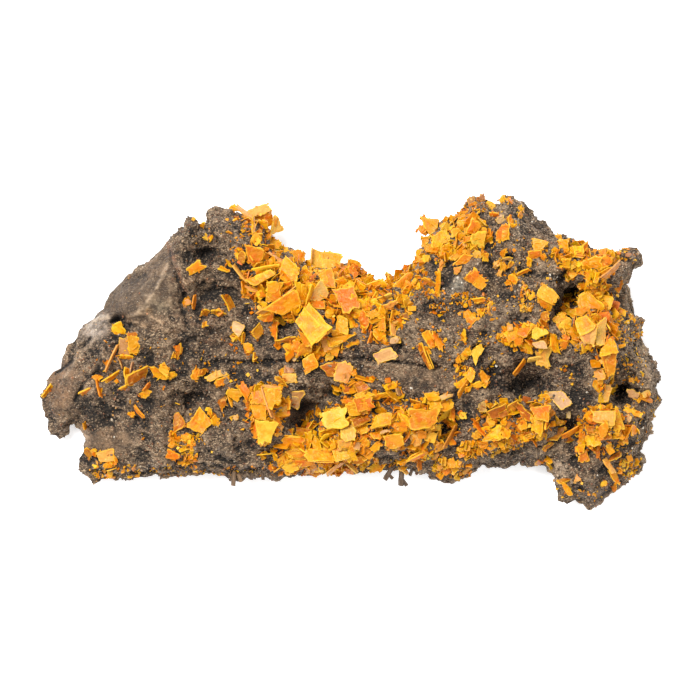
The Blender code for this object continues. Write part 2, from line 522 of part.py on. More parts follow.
def plateau_height(x, y):
    """Height of the rock's upper side away from its edges, at a place on the chart."""
    weighted_sum = 0.0
    weights = 0.0
    for px, py, height in RELIEF:
        weight = 1.0 / ((x - px) ** 2 + (y - py) ** 2 + RELIEF_SOFTNESS ** 2) ** 2
        weighted_sum += weight * height * MM
        weights += weight
    height = weighted_sum / weights
    for px, py, radius, depth in PITS:
        height -= depth * MM * bump(x, y, px, py, radius)
    for px, py, radius, rise in LUMPS:
        height += rise * MM * bump(x, y, px, py, radius)
    facet_x = (x - FACET_MIDDLE[0]) / FACET_REACH[0]
    facet_y = (y - FACET_MIDDLE[1]) / FACET_REACH[1]
    kept = FACET_ROUGHNESS if facet_x ** 2 + facet_y ** 2 < 1.0 else 1.0
    return height + kept * roughness_at(*chart_to_world(x, y))


def quarter_round(distance, radius):
    """0 at an edge, rising in a quarter circle to 1 at radius from it."""
    inward = np.clip(distance / radius, 0.0, 1.0)
    return np.sqrt(1.0 - (1.0 - inward) ** 2)


def top_heights(world, ring):
    """Heights of the upper side at points given in metres."""
    chart = world_to_chart(world)
    heights = np.array([plateau_height(x, y) for x, y in chart])
    for line, width, depth in CRACKS:
        heights -= depth * MM * np.exp(-(distance_to_line(chart, line, closed=False) / width) ** 2)
    rounded = quarter_round(distance_to_line(world, ring, closed=True), EDGE_ROUND)
    return heights * (EDGE_SHARE + (1.0 - EDGE_SHARE) * rounded)


def back_heights(world, ring, edge_height):
    """Heights of the underside, which curves in from the edge to a flat base at zero."""
    places = [Vector((x, y, 0.0)) / BACK_VARIES_LENGTH for x, y in world]
    radius = BACK_ROUND + BACK_ROUND_VARIES * np.array([noise.noise(place) for place in places])
    return edge_height * (1.0 - quarter_round(distance_to_line(world, ring, closed=True), radius))


def nudged(x, y, spacing):
    """A grid point moved off its place a little, always the same way."""
    place = Vector((x, y, 0.0)) / (NUDGE_LENGTH * spacing)
    aside = Vector((0.0, 0.0, LAYER_SHIFT))
    step = POINT_NUDGE * spacing
    return x + step * noise.noise(place + aside), y + step * noise.noise(place - aside)


def scattered_points(ring, spacing, clear_share):
    """Points on a staggered, uneven grid inside the outline and clear of it."""
    low, high = ring.min(axis=0), ring.max(axis=0)
    points = []
    rows = np.arange(low[1], high[1], spacing * math.sqrt(3) / 2)
    for number, y in enumerate(rows):
        stagger = (number % 2) * spacing / 2
        points += [nudged(x, y, spacing) for x in np.arange(low[0] + stagger, high[0], spacing)]
    points = np.array(points)
    points = points[inside_outline(points, ring)]
    return points[distance_to_line(points, ring, closed=True) > clear_share * spacing]


def sheet_inside(ring, points):
    """Triangles that fill the outline through its own points and the points inside it."""
    flat = [Vector(p) for p in ring] + [Vector(p) for p in points]
    count = len(ring)
    edges = [(i, (i + 1) % count) for i in range(count)]
    outline = [list(range(count))]
    filled = delaunay_2d_cdt(flat, edges, outline, INSIDE_TRIANGLES, SAME_PLACE)
    faces, origins = filled[2], filled[3]
    return [[origins[v][0] for v in face] for face in faces]


def points_at(world, heights):
    return [(x, y, z) for (x, y), z in zip(world, heights)]


def build_rock():
    """The rock matrix: one closed body, its two sides sharing the outline."""
    ring = np.array([chart_to_world(x, y) for x, y in OUTLINE])
    ring_heights = top_heights(ring, ring)
    top = scattered_points(ring, TOP_SPACING, TOP_CLEAR_SHARE)
    back = scattered_points(ring, BACK_SPACING, BACK_CLEAR_SHARE)
    vertices = points_at(ring, ring_heights)
    vertices += points_at(top, top_heights(top, ring))
    vertices += points_at(back, back_heights(back, ring, float(ring_heights.mean())))

    top_faces = sheet_inside(ring, top)
    shift = len(top)
    back_faces = []
    for face in sheet_inside(ring, back):
        back_faces.append([v if v < len(ring) else v + shift for v in reversed(face)])
    rock = new_object("rock_matrix", mesh_from("rock_matrix", vertices, top_faces + back_faces))
    rock.data.materials.append(material("rock", ROCK_COLOUR, ROCK_ROUGHNESS))
    return rock, vertices, top_faces


def vertex_normals(vertices, faces):
    """Normals of an open sheet, pointing up."""
    normals = [Vector() for _ in vertices]
    for face in faces:
        a, b, c = (Vector(vertices[i]) for i in face)
        normal = (b - a).cross(c - a)
        if normal.z < 0:
            normal.negate()
        for i in face:
            normals[i] += normal
    return [normal.normalized() for normal in normals]


def thick_sheet(name, upper, faces, sink):
    """A solid under some triangles: their corners above, and straight below them by sink."""
    used = sorted({v for face in faces for v in face})
    place = {v: i for i, v in enumerate(used)}
    top = [Vector(upper[v]) for v in used]
    bottom = [p - Vector((0, 0, sink)) for p in top]
    count = len(used)
    solid_faces = [[place[v] for v in face] for face in faces]
    solid_faces += [[place[v] + count for v in reversed(face)] for face in faces]
    sides = {(a, b) for face in faces for a, b in zip(face, face[1:] + face[:1])}
    for a, b in sorted(sides):
        if (b, a) not in sides:
            solid_faces.append([place[b], place[a], place[a] + count, place[b] + count])
    return mesh_from(name, top + bottom, solid_faces)


def ground_heights(world, tree):
    """Height of the rock under each point; past its edge, that of the nearest rock."""
    heights = []
    for x, y in world:
        hit = tree.ray_cast(Vector((x, y, RAY_START)), Vector((0, 0, -1)))[0]
        if hit is None:
            hit = tree.find_nearest(Vector((x, y, BESIDE_HEIGHT)))[0]
        heights.append(hit.z)
    return heights


def plate_corners(one, tree):
    """A tablet's four corners in space: lowest edge rooted in the rock, middle clear of it."""
    world = [chart_to_world(x, y) for x, y in one.corners]
    middle = np.mean(world, axis=0)
    steep = math.tan(math.radians(min(one.slope, STEEPEST)))
    toward = math.radians(one.toward)
    downhill = (math.cos(toward), math.sin(toward))
    tilted = [-steep * float(np.dot(np.subtract(p, middle), downhill)) for p in world]
    *ground, middle_ground = ground_heights(world + [tuple(middle)], tree)
    touching = sorted(g - t for g, t in zip(ground, tilted))
    deepest = touching[0] - PLATE_ROOT
    resting = min(touching[1] - PLATE_ROOT, middle_ground + PLATE_MIDDLE_RISE)
    lift = max(deepest, resting, middle_ground + PLATE_THICKNESS) + one.lift
    return [Vector((x, y, t + lift)) for (x, y), t in zip(world, tilted)]


def plate_mesh(name, corners):
    """A flat-sided tablet under four corners."""
    normal = (corners[2] - corners[0]).cross(corners[3] - corners[1]).normalized()
    if normal.z < 0:
        normal.negate()
    under = [c - normal * PLATE_THICKNESS for c in corners]
    sides = [(i, (i + 1) % 4, (i + 1) % 4 + 4, i + 4) for i in range(4)]
    return mesh_from(name, corners + under, [(0, 1, 2, 3), (7, 6, 5, 4)] + sides)


def combine(target, other, operation):
    """Apply one exact Boolean and remove the second shape."""
    step = target.modifiers.new(operation.lower(), "BOOLEAN")
    step.operation = operation
    step.solver = "EXACT"
    step.object = other
    graph = bpy.context.evaluated_depsgraph_get()
    result = bpy.data.meshes.new_from_object(target.evaluated_get(graph))
    target.modifiers.clear()
    old = target.data
    target.data = result
    bpy.data.meshes.remove(old)
    bpy.data.objects.remove(other, do_unlink=True)


def bodies_of(shell):
    """The groups of faces joined across edges that exactly two faces share."""
    shell.faces.index_update()
    seen = set()
    bodies = []
    for start in shell.faces:
        if start.index in seen:
            continue
        seen.add(start.index)
        body = [start]
        for face in body:
            pairs = [edge.link_faces for edge in face.edges if len(edge.link_faces) == 2]
            for near in (face_near for pair in pairs for face_near in pair):
                if near.index not in seen:
                    seen.add(near.index)
                    body.append(near)
        bodies.append(body)
    return bodies


def keep_largest_body(mesh):
    """Clean a mesh and drop the slivers that a cut leaves loose."""
    shell = bmesh.new()
    shell.from_mesh(mesh)
    bmesh.ops.remove_doubles(shell, verts=shell.verts, dist=WELD)
    bmesh.ops.dissolve_degenerate(shell, edges=shell.edges, dist=WELD)
    bmesh.ops.dissolve_limit(shell, angle_limit=FLAT_ANGLE, verts=shell.verts, edges=shell.edges)
    bmesh.ops.triangulate(shell, faces=shell.faces)
    bodies = bodies_of(shell)
    largest = max(bodies, key=lambda body: sum(face.calc_area() for face in body))
    loose = [face for body in bodies if body is not largest for face in body]
    bmesh.ops.delete(shell, geom=loose, context="FACES")
    shell.to_mesh(mesh)
    shell.free()


def root_outline(plates):
    """The outline of a cluster's crust on the rock, drawn in a little from its tablets."""
    corners = [Vector(chart_to_world(x, y)) for one in plates for x, y in one.corners]
    hull = [corners[i] for i in convex_hull_2d(corners)]
    middle = sum(hull, Vector((0, 0))) / len(hull)
    ring = []
    for corner in hull:
        point = middle + (corner - middle) * ROOT_SHARE
        if not ring or (point - ring[-1]).length > ROOT_STEP:
            ring.append(point)
    if (ring[0] - ring[-1]).length < ROOT_STEP:
        ring.pop()
    return np.array([(p.x, p.y) for p in ring])


def root_mesh(name, plates, tree):
    """The low crust that a cluster's tablets stand in."""
    ring = root_outline(plates)
    inner = scattered_points(ring, ROOT_SPACING, ROOT_CLEAR_SHARE)
    points = [tuple(p) for p in ring] + [tuple(p) for p in inner]
    rise = ROOT_RISE + float(np.mean([one.lift for one in plates]))
    heights = [height + rise for height in ground_heights(points, tree)]
    return thick_sheet(name, points_at(points, heights), sheet_inside(ring, inner), ROOT_SINK)


def cutter_mesh(name, plates, rock_sheet):
    """The rock around a cluster, its upper side raised by GAP."""
    vertices, faces, normals = rock_sheet
    corners = np.array([chart_to_world(x, y) for one in plates for x, y in one.corners])
    low, high = corners.min(axis=0) - CUTTER_MARGIN, corners.max(axis=0) + CUTTER_MARGIN
    flat = np.array(vertices)[:, :2]
    near = ((flat > low) & (flat < high)).all(axis=1)
    around = [face for face in faces if near[face].all()]
    raised = [Vector(v) + normal * GAP for v, normal in zip(vertices, normals)]
    return thick_sheet(name, raised, around, CUTTER_DEPTH)


def build_cluster(name, plates, rock_sheet, tree):
    """One cluster: its tablets and the crust they stand in, clear of the rock by GAP."""
    shapes = [plate_mesh(name, plate_corners(one, tree)) for one in plates]
    if len(plates) > 1:
        shapes.insert(0, root_mesh(name, plates, tree))
    cluster = new_object(name, shapes[0])
    for number, shape in enumerate(shapes[1:]):
        combine(cluster, new_object(f"{name}_tablet_{number}", shape), "UNION")
    cutter = new_object(f"{name}_cutter", cutter_mesh(name, plates, rock_sheet))
    combine(cluster, cutter, "DIFFERENCE")
    keep_largest_body(cluster.data)
    colour = CRYSTAL_COLOURS[plates[0].colour]
    cluster.data.materials.clear()
    cluster.data.materials.append(material(name, colour, CRYSTAL_ROUGHNESS))
    return cluster


def rest_on_base(made):
    """Centre the whole specimen over the origin, on its flat base."""
    points = np.array([v.co for item in made for v in item.data.vertices])
    low, high = points.min(axis=0), points.max(axis=0)
    shift = Vector((-(low[0] + high[0]) / 2, -(low[1] + high[1]) / 2, -low[2]))
    for item in made:
        for vertex in item.data.vertices:
            vertex.co += shift


def build_specimen():
    clear_scene()
    rock, vertices, top_faces = build_rock()
    rock_sheet = (vertices, top_faces, vertex_normals(vertices, top_faces))
    tree = BVHTree.FromPolygons(vertices, top_faces)
    made = [rock]
    for name, plates in CLUSTERS.items():
        made.append(build_cluster(name, plates, rock_sheet, tree))
    rest_on_base(made)


build_specimen()
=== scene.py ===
"""Wulfenite crystals on their rock matrix, seen from straight above.

The specimen is read off a flat chart laid over it: x runs right, y runs down, and
one chart unit is CHART_UNIT metres. In the model +X is the chart's right, +Y its
top and +Z up, away from the floor that the specimen lies on.
"""

import math
import random

import bmesh
import bpy
import numpy as np
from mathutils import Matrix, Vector, noise
from mathutils.bvhtree import BVHTree


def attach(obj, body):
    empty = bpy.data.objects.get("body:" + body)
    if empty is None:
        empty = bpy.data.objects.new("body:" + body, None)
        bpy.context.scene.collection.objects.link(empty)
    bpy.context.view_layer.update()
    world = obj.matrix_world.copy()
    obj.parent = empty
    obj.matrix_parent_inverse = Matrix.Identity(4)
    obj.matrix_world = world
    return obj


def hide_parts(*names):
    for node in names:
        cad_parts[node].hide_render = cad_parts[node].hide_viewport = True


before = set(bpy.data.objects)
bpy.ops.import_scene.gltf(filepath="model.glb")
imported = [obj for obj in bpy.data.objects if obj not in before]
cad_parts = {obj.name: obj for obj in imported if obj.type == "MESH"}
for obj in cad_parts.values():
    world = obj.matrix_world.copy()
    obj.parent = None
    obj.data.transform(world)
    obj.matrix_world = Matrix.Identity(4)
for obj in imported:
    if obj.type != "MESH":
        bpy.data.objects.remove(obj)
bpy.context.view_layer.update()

# Sizes in metres, and the specimen's length and the chart's side in chart units
MM = 0.001
SPECIMEN_LENGTH = 0.1123
SPECIMEN_ON_CHART = 624.0
CHART_UNIT = SPECIMEN_LENGTH / SPECIMEN_ON_CHART
CHART_MIDDLE = (349.0, 350.5)
CHART_SIDE = 700.0
VIEW_WIDTH = CHART_SIDE * CHART_UNIT

# A tablet's thickness, how deep its lowest corners stand in the rock, and how high its middle may be
TABLET_THICKNESS = (0.2 * MM, 0.46 * MM)
THICKNESS_SHARE = 0.06
TABLET_ROOT = 0.45 * MM
MIDDLE_RISE = 1.2 * MM
CLEAR_RISE = 0.55 * MM
STEEPEST = 68.0
BLADE_DEPTH = 1.6 * MM
BLADE_THICKNESS = 0.17 * MM
BLADE_RISE = 1.1 * MM

# Heights that rays and searches for the rock start from
RAY_START = 0.1
BESIDE_HEIGHT = 8.0 * MM

# Longest edges of the rock's mesh, and how often they may be halved
ROUGH_EDGE = 0.48 * MM
SMOOTH_EDGE = 0.52 * MM
BACK_EDGE = 1.5 * MM
FIRST_EDGE = 1.1 * MM
REFINE_ROUNDS = 7

# Colours as the eye reads them, red green blue out of 255
TABLET_COLOURS = {
    "golden": (206, 144, 0),
    "orange": (200, 122, 0),
    "amber": (172, 100, 8),
    "peach": (200, 146, 66),
    "yellow": (204, 154, 36),
    "pinkish": (190, 148, 98),
    "tan": (156, 114, 62),
}
DEEP_COLOURS = {
    "golden": (200, 102, 0),
    "orange": (190, 84, 0),
    "amber": (142, 70, 2),
    "peach": (202, 124, 36),
    "yellow": (206, 128, 8),
    "pinkish": (186, 130, 76),
    "tan": (142, 86, 36),
}
MILKY_COLOUR = (236, 188, 96)
RIM_COLOUR = (236, 184, 44)
ROCK_COLOUR = (100, 84, 68)
ROCK_TONES_AND_PAINTED_LIGHT = {
    "mottles": (48, 36, 26),
    # crest is painted light on the rock's crests; hollow is painted shade in its hollows
    "crest": (168, 142, 112),
    "hollow": (24, 18, 13),
    "specks": (32, 24, 17),
    "streaks": (176, 148, 116),
    "crumbs": (190, 162, 128),
    "rust": (140, 70, 32),
    "slab": (176, 152, 124),
    # deepest is painted shade in the rock's deepest hollows
    "deepest": (16, 12, 9),
    "crumb_shade": (50, 40, 32),
}
# Painted highlight: the colour of the pale grains where glints show
PAINTED_GLINT_COLOUR = (222, 212, 194)
FLOOR_COLOURS = ((244, 244, 244), (248, 248, 248))

# How the rock's tints are warmed as light values, and the floor's faint clouds and glow
ROCK_WARMTH = (1.06, 0.9, 0.72)
FLOOR_CLOUDS = 50.0 * MM
FLOOR_GLOW = 0.42

# Tints on the rock, mostly its own colours, the darkest of them painted shade in its holes and under its
# ledges: chart x, y, reach across, reach down, colour, strength
ROCK_TINTS = (
    (135, 300, 42, 28, (98, 86, 74), 0.8), (158, 308, 11, 9, (150, 142, 124), 0.7),
    (150, 311, 3, 3, (176, 128, 50), 0.6), (128, 262, 26, 14, (112, 98, 86), 0.6),
    (92, 328, 13, 12, (196, 196, 200), 0.75), (100, 318, 8, 6, (210, 210, 212), 0.6),
    (80, 345, 10, 14, (150, 138, 126), 0.5), (60, 385, 15, 26, (142, 114, 90), 0.8),
    (70, 365, 14, 12, (128, 106, 88), 0.6), (50, 425, 12, 10, (88, 74, 62), 0.6),
    (108, 440, 24, 11, (150, 128, 106), 0.85), (140, 438, 16, 10, (128, 116, 104), 0.5),
    (105, 415, 20, 8, (96, 86, 78), 0.5), (205, 249, 20, 7, (44, 36, 32), 0.75),
    (190, 262, 14, 7, (86, 72, 60), 0.4), (200, 281, 16, 4, (152, 124, 98), 0.5),
    (178, 322, 24, 7, (122, 98, 82), 0.7), (205, 325, 20, 8, (126, 100, 84), 0.5),
    (195, 345, 26, 10, (62, 54, 50), 0.5), (236, 420, 18, 24, (78, 70, 66), 0.75),
    (210, 293, 14, 7, (50, 42, 36), 0.6), (240, 395, 12, 8, (110, 100, 92), 0.3),
    (262, 350, 30, 9, (112, 100, 90), 0.6), (312, 411, 22, 10, (40, 32, 26), 0.7),
    (313, 412, 10, 5, (168, 158, 150), 0.9), (300, 425, 14, 6, (40, 32, 26), 0.7),
    (425, 378, 30, 13, (126, 106, 86), 0.85), (430, 352, 16, 8, (120, 108, 98), 0.5),
    (440, 300, 20, 22, (88, 76, 66), 0.4), (456, 284, 9, 7, (186, 192, 190), 0.85),
    (450, 292, 8, 4, (170, 170, 164), 0.6), (475, 265, 16, 12, (104, 90, 80), 0.6),
    (545, 271, 18, 9, (176, 160, 140), 0.6), (552, 277, 7, 5, (206, 206, 196), 0.6),
    (520, 270, 12, 8, (70, 58, 50), 0.5), (505, 318, 22, 14, (92, 84, 78), 0.5),
    (480, 330, 20, 14, (104, 92, 82), 0.5), (570, 299, 9, 10, (30, 22, 18), 0.9),
    (505, 345, 14, 10, (86, 76, 68), 0.4), (540, 362, 26, 14, (70, 56, 50), 0.5),
    (575, 395, 22, 9, (104, 94, 84), 0.5), (520, 388, 24, 8, (50, 42, 38), 0.6),
    (620, 392, 12, 9, (72, 68, 64), 0.6), (625, 268, 16, 9, (120, 108, 94), 0.5),
    (630, 300, 8, 18, (142, 130, 112), 0.6), (637, 345, 8, 20, (138, 126, 108), 0.5),
    (652, 380, 8, 22, (120, 110, 98), 0.4), (640, 440, 14, 24, (124, 112, 98), 0.5),
    (562, 468, 8, 9, (196, 184, 172), 0.8), (560, 478, 7, 5, (180, 166, 152), 0.7),
    (598, 497, 14, 10, (136, 118, 100), 0.7), (575, 490, 16, 9, (112, 104, 92), 0.5),
    (636, 462, 14, 8, (140, 128, 104), 0.5), (440, 474, 18, 7, (116, 104, 92), 0.5),
    (150, 473, 60, 4, (150, 134, 114), 0.6), (220, 470, 40, 4, (120, 100, 84), 0.5),
    (512, 225, 9, 16, (112, 108, 98), 0.6), (475, 207, 10, 8, (150, 126, 86), 0.5),
    (628, 258, 9, 9, (112, 98, 84), 0.5), (652, 428, 6, 26, (186, 172, 152), 0.7),
    (643, 345, 5, 22, (172, 160, 138), 0.6), (628, 286, 5, 16, (170, 156, 132), 0.6),
    (100, 372, 16, 26, (112, 96, 82), 0.5), (612, 492, 10, 8, (168, 142, 116), 0.5),
    (83, 432, 6, 8, (206, 194, 184), 0.6), (520, 365, 30, 18, (104, 60, 42), 0.35),
    (225, 340, 40, 10, (100, 66, 50), 0.3), (340, 350, 40, 7, (124, 88, 58), 0.4),
    (395, 480, 12, 8, (92, 74, 62), 0.7), (510, 205, 7, 9, (126, 116, 98), 0.5),
    (80, 441, 8, 8, (196, 182, 172), 0.5), (498, 457, 32, 9, (58, 52, 48), 0.7),
    (560, 374, 20, 15, (72, 56, 48), 0.5), (588, 487, 17, 9, (80, 72, 64), 0.55),
    (470, 320, 34, 12, (74, 62, 54), 0.45), (232, 412, 26, 22, (76, 64, 54), 0.5),
    (440, 322, 12, 12, (66, 54, 44), 0.5), (500, 338, 16, 12, (74, 60, 50), 0.5),
    (590, 500, 10, 6, (150, 128, 104), 0.5), (600, 512, 9, 5, (142, 112, 84), 0.5),
)

# Streaks on the rock, the darkest of them painted shade in its seams and holes and under its ledges: line on
# the chart, half width in chart units, colour, strength
STREAKS = (
    (((147, 304), (151, 297), (154, 294)), 1.4, (188, 176, 160), 0.75),
    (((157, 288), (160, 281)), 1.3, (196, 184, 168), 0.75),
    (((163, 275), (165, 270), (169, 263)), 1.4, (190, 176, 160), 0.7),
    (((159, 293), (165, 279), (171, 269)), 1.4, (58, 46, 38), 0.65),
    (((142, 288), (147, 283), (153, 280)), 1.5, (170, 156, 140), 0.6),
    (((143, 294), (149, 296), (152, 302)), 1.3, (176, 164, 148), 0.6),
    (((152, 288), (158, 281), (166, 285)), 1.5, (48, 38, 32), 0.7),
    (((142, 298), (146, 304), (154, 307)), 1.6, (60, 48, 40), 0.6),
    (((128, 316), (140, 312), (152, 316), (162, 323)), 1.9, (184, 164, 140), 0.7),
    (((126, 274), (139, 268), (150, 260), (158, 254)), 1.7, (172, 158, 142), 0.55),
    (((170, 268), (178, 280), (184, 296)), 1.8, (70, 54, 44), 0.5),
    (((172, 300), (166, 310), (170, 320)), 1.7, (168, 154, 134), 0.6),
    (((118, 296), (128, 288), (138, 284)), 1.8, (82, 68, 58), 0.5),
    (((112, 306), (124, 306), (134, 300)), 1.8, (76, 62, 52), 0.5),
    (((165, 236), (170, 250), (176, 264), (186, 292)), 1.6, (150, 98, 72), 0.6),
    (((172, 262), (180, 266)), 1.6, (170, 154, 138), 0.6),
    (((112, 321), (128, 319), (150, 328), (186, 334), (200, 330)), 1.9, (176, 152, 126), 0.7),
    (((128, 326), (150, 334), (180, 341)), 1.8, (50, 38, 30), 0.6),
    (((186, 283), (200, 279), (218, 283)), 2.2, (158, 128, 98), 0.6),
    (((60, 384), (70, 368), (84, 352), (96, 338)), 1.5, (176, 166, 154), 0.6),
    (((96, 378), (104, 362), (112, 350)), 1.4, (48, 36, 28), 0.8),
    (((74, 402), (82, 388), (90, 378)), 1.4, (46, 36, 28), 0.8),
    (((92, 322), (108, 318), (118, 322)), 1.6, (196, 184, 170), 0.6),
    (((96, 474), (120, 471), (160, 472), (205, 470), (240, 475)), 1.4, (168, 142, 110), 0.6),
    (((215, 357), (262, 356), (300, 357)), 1.3, (150, 134, 120), 0.5),
    (((330, 368), (390, 366), (440, 372)), 1.6, (152, 130, 108), 0.5),
    (((486, 302), (494, 314), (492, 332)), 1.5, (146, 138, 128), 0.5),
    (((516, 222), (519, 236), (513, 248)), 1.5, (160, 152, 138), 0.5),
    (((206, 288), (212, 281), (221, 286), (221, 295)), 1.4, (150, 130, 110), 0.6),
    (((262, 322), (280, 330), (300, 326)), 1.6, (70, 48, 36), 0.5),
    (((296, 403), (312, 400), (330, 405)), 1.6, (36, 28, 22), 0.8),
    (((58, 373), (66, 365), (74, 356)), 1.2, (40, 32, 26), 0.8),
    (((76, 396), (86, 382), (91, 375), (108, 366)), 1.2, (42, 34, 28), 0.75),
    (((65, 352), (60, 360), (56, 372)), 1.6, (188, 180, 170), 0.6),
    (((130, 318), (141, 310), (150, 306)), 1.3, (182, 170, 154), 0.5),
    (((204, 303), (211, 309), (219, 312)), 1.4, (36, 28, 24), 0.8),
    (((182, 333), (205, 331), (230, 329)), 1.8, (44, 34, 30), 0.7),
    (((222, 264), (231, 261)), 1.4, (26, 20, 16), 0.9), (((148, 363), (159, 365)), 1.5, (34, 26, 22), 0.8),
    (((207, 360), (239, 361)), 1.1, (158, 148, 138), 0.6),
    (((186, 248), (200, 244), (220, 246)), 1.6, (150, 126, 104), 0.6),
    (((93, 402), (104, 398), (116, 406), (112, 418)), 1.4, (146, 130, 114), 0.5),
    (((96, 410), (104, 407), (110, 413)), 1.8, (38, 32, 30), 0.7),
    (((188, 402), (198, 400), (206, 404)), 1.6, (150, 122, 98), 0.4),
    (((456, 246), (462, 262), (470, 276)), 1.6, (52, 42, 36), 0.6),
    (((500, 250), (508, 262), (520, 268)), 1.6, (40, 32, 28), 0.7),
    (((486, 320), (504, 306), (522, 310)), 1.8, (124, 114, 106), 0.5),
    (((470, 396), (490, 392), (512, 398)), 1.6, (36, 28, 24), 0.7),
    (((588, 470), (600, 466), (612, 472)), 1.6, (60, 50, 44), 0.5),
    (((572, 500), (590, 508), (604, 504)), 2.0, (168, 146, 118), 0.5),
    (((640, 300), (646, 330), (644, 346)), 1.6, (188, 178, 160), 0.6),
    (((654, 396), (655, 420), (646, 446), (642, 462)), 1.8, (196, 184, 164), 0.6),
)

# Places that are smoother than the rest: chart x, y, reach across, reach down, how much roughness is left
SMOOTH_PLACES = (
    (132, 298, 46, 27, 0.22), (163, 262, 16, 22, 0.4), (92, 330, 18, 15, 0.5), (62, 385, 17, 32, 0.4),
    (108, 441, 27, 11, 0.3), (312, 412, 22, 10, 0.12), (425, 378, 32, 13, 0.5), (262, 352, 34, 8, 0.6),
    (540, 418, 12, 8, 0.6), (505, 318, 18, 12, 0.6), (456, 284, 10, 8, 0.5), (598, 497, 14, 9, 0.5),
)

# Hollows: chart x, y, reach across, reach down, depth in millimetres
HOLLOWS = (
    (119, 320, 6, 3, 1.8), (205, 253, 20, 4, 1.2), (190, 258, 8, 5, 0.9), (210, 293, 12, 6, 1.3),
    (198, 306, 5, 6, 1.0), (150, 361, 4, 4, 1.2), (108, 421, 7, 6, 1.0), (120, 404, 9, 5, 0.7),
    (190, 398, 14, 7, 0.9), (150, 404, 8, 4, 0.5), (283, 323, 7, 6, 1.3), (262, 330, 8, 5, 0.7),
    (265, 258, 5, 4, 1.0), (435, 312, 6, 5, 1.0), (400, 345, 5, 4, 1.2), (490, 373, 5, 5, 1.6),
    (524, 275, 8, 6, 1.3), (508, 257, 7, 3, 1.2), (570, 298, 9, 8, 2.4), (524, 342, 5, 4, 1.2),
    (526, 386, 22, 8, 1.2), (573, 432, 7, 7, 1.4), (618, 390, 10, 7, 1.3), (607, 333, 5, 5, 1.2),
    (345, 322, 4, 4, 0.8), (332, 393, 12, 5, 0.9), (300, 427, 12, 5, 1.0), (298, 406, 8, 5, 1.2),
    (324, 416, 8, 6, 1.2), (387, 404, 5, 4, 0.8), (447, 431, 7, 5, 1.2), (575, 463, 7, 6, 0.8),
    (440, 262, 8, 6, 0.9), (458, 252, 7, 4, 0.8), (506, 268, 6, 5, 0.8), (222, 345, 12, 4, 0.6),
    (590, 398, 8, 5, 0.6), (310, 346, 4, 4, 0.8), (377, 303, 4, 3, 0.7), (242, 331, 5, 5, 0.5),
    (205, 230, 5, 4, 0.6), (605, 470, 9, 6, 0.5), (470, 405, 8, 5, 0.8), (452, 395, 5, 4, 0.7),
    (545, 275, 5, 4, 0.7), (88, 455, 4, 5, 0.8), (232, 372, 6, 3, 0.6),
)

# Ridges: line on the chart, half width in chart units, height in millimetres
RIDGES = (
    (((178, 226), (183, 246), (179, 262), (188, 292)), 1.8, 0.45),
    (((150, 296), (158, 288), (166, 276), (168, 268)), 1.4, 0.35),
    (((207, 287), (213, 282), (220, 285), (222, 292), (217, 299)), 1.3, 0.4),
    (((112, 325), (130, 322), (150, 330), (186, 334)), 1.8, 0.45),
    (((86, 372), (94, 360), (106, 352)), 1.6, 0.4), (((186, 283), (200, 278), (216, 282)), 1.8, 0.4),
    (((215, 356), (262, 355), (300, 354)), 1.6, 0.4), (((330, 366), (390, 364), (440, 371)), 2.0, 0.45),
    (((488, 300), (496, 312), (494, 330)), 1.6, 0.35), (((515, 222), (520, 236), (514, 246)), 1.6, 0.4),
    (((160, 318), (175, 326), (200, 322), (222, 326)), 2.2, 0.4),
    (((296, 402), (312, 399), (328, 403)), 1.8, 0.5), (((140, 312), (146, 304), (152, 298)), 1.6, 0.35),
    (((158, 262), (164, 272), (160, 284)), 1.4, 0.3),
    (((128, 318), (140, 314), (152, 318), (164, 325)), 1.8, 0.45),
    (((126, 276), (140, 270), (150, 262)), 1.6, 0.3),
)

# Seams and ledge feet: line on the chart, half width in chart units, depth in millimetres
SEAMS = (
    (((213, 361), (250, 362), (300, 361), (345, 358), (392, 361), (440, 367)), 1.6, 0.9),
    (((186, 292), (182, 306), (188, 328)), 1.6, 0.7),
    (((168, 240), (172, 262), (180, 284), (188, 300)), 1.4, 0.6),
    (((112, 322), (140, 327), (168, 333), (186, 333)), 2.2, 0.9),
    (((55, 374), (66, 366), (78, 350), (90, 338)), 1.6, 0.7), (((75, 400), (84, 384), (97, 372)), 2.0, 0.9),
    (((88, 472), (120, 474), (160, 474), (200, 471), (240, 474)), 1.4, 0.6),
)

# Stubs of dark crust on the lower edge: chart start, chart end, width in millimetres
STUBS = (
    (392, 468, 385, 480, 0.9), (388, 474, 393, 479, 0.6), (402, 468, 401, 486, 1.0),
    (401, 478, 407, 486, 0.7), (234, 472, 233, 486, 0.8), (238, 474, 241, 482, 0.7),
    (262, 472, 263, 480, 0.6), (252, 472, 251, 480, 0.7), (276, 472, 277, 478, 0.6),
    (290, 472, 290, 478, 0.6), (412, 470, 410, 476, 0.6), (446, 474, 442, 482, 0.9),
    (232, 478, 229, 481, 0.5),
)

# Pale grains whose colour is a painted highlight where glints show on the rock: chart x, y, size in
# millimetres
GLINTS = (
    (411, 388, 0.6), (496, 366, 0.7), (568, 414, 1.0), (569, 416, 0.6), (643, 428, 0.7), (114, 437, 0.5),
    (500, 371, 0.4), (266, 293, 0.5), (461, 283, 0.5), (452, 289, 0.5), (457, 278, 0.6), (556, 277, 0.6),
    (549, 275, 0.5), (313, 410, 0.5), (586, 392, 0.5), (96, 330, 0.5), (514, 292, 0.5), (532, 222, 0.4),
    (478, 449, 0.5), (362, 366, 0.4), (248, 318, 0.4), (206, 238, 0.5), (597, 475, 0.5), (632, 448, 0.5),
)

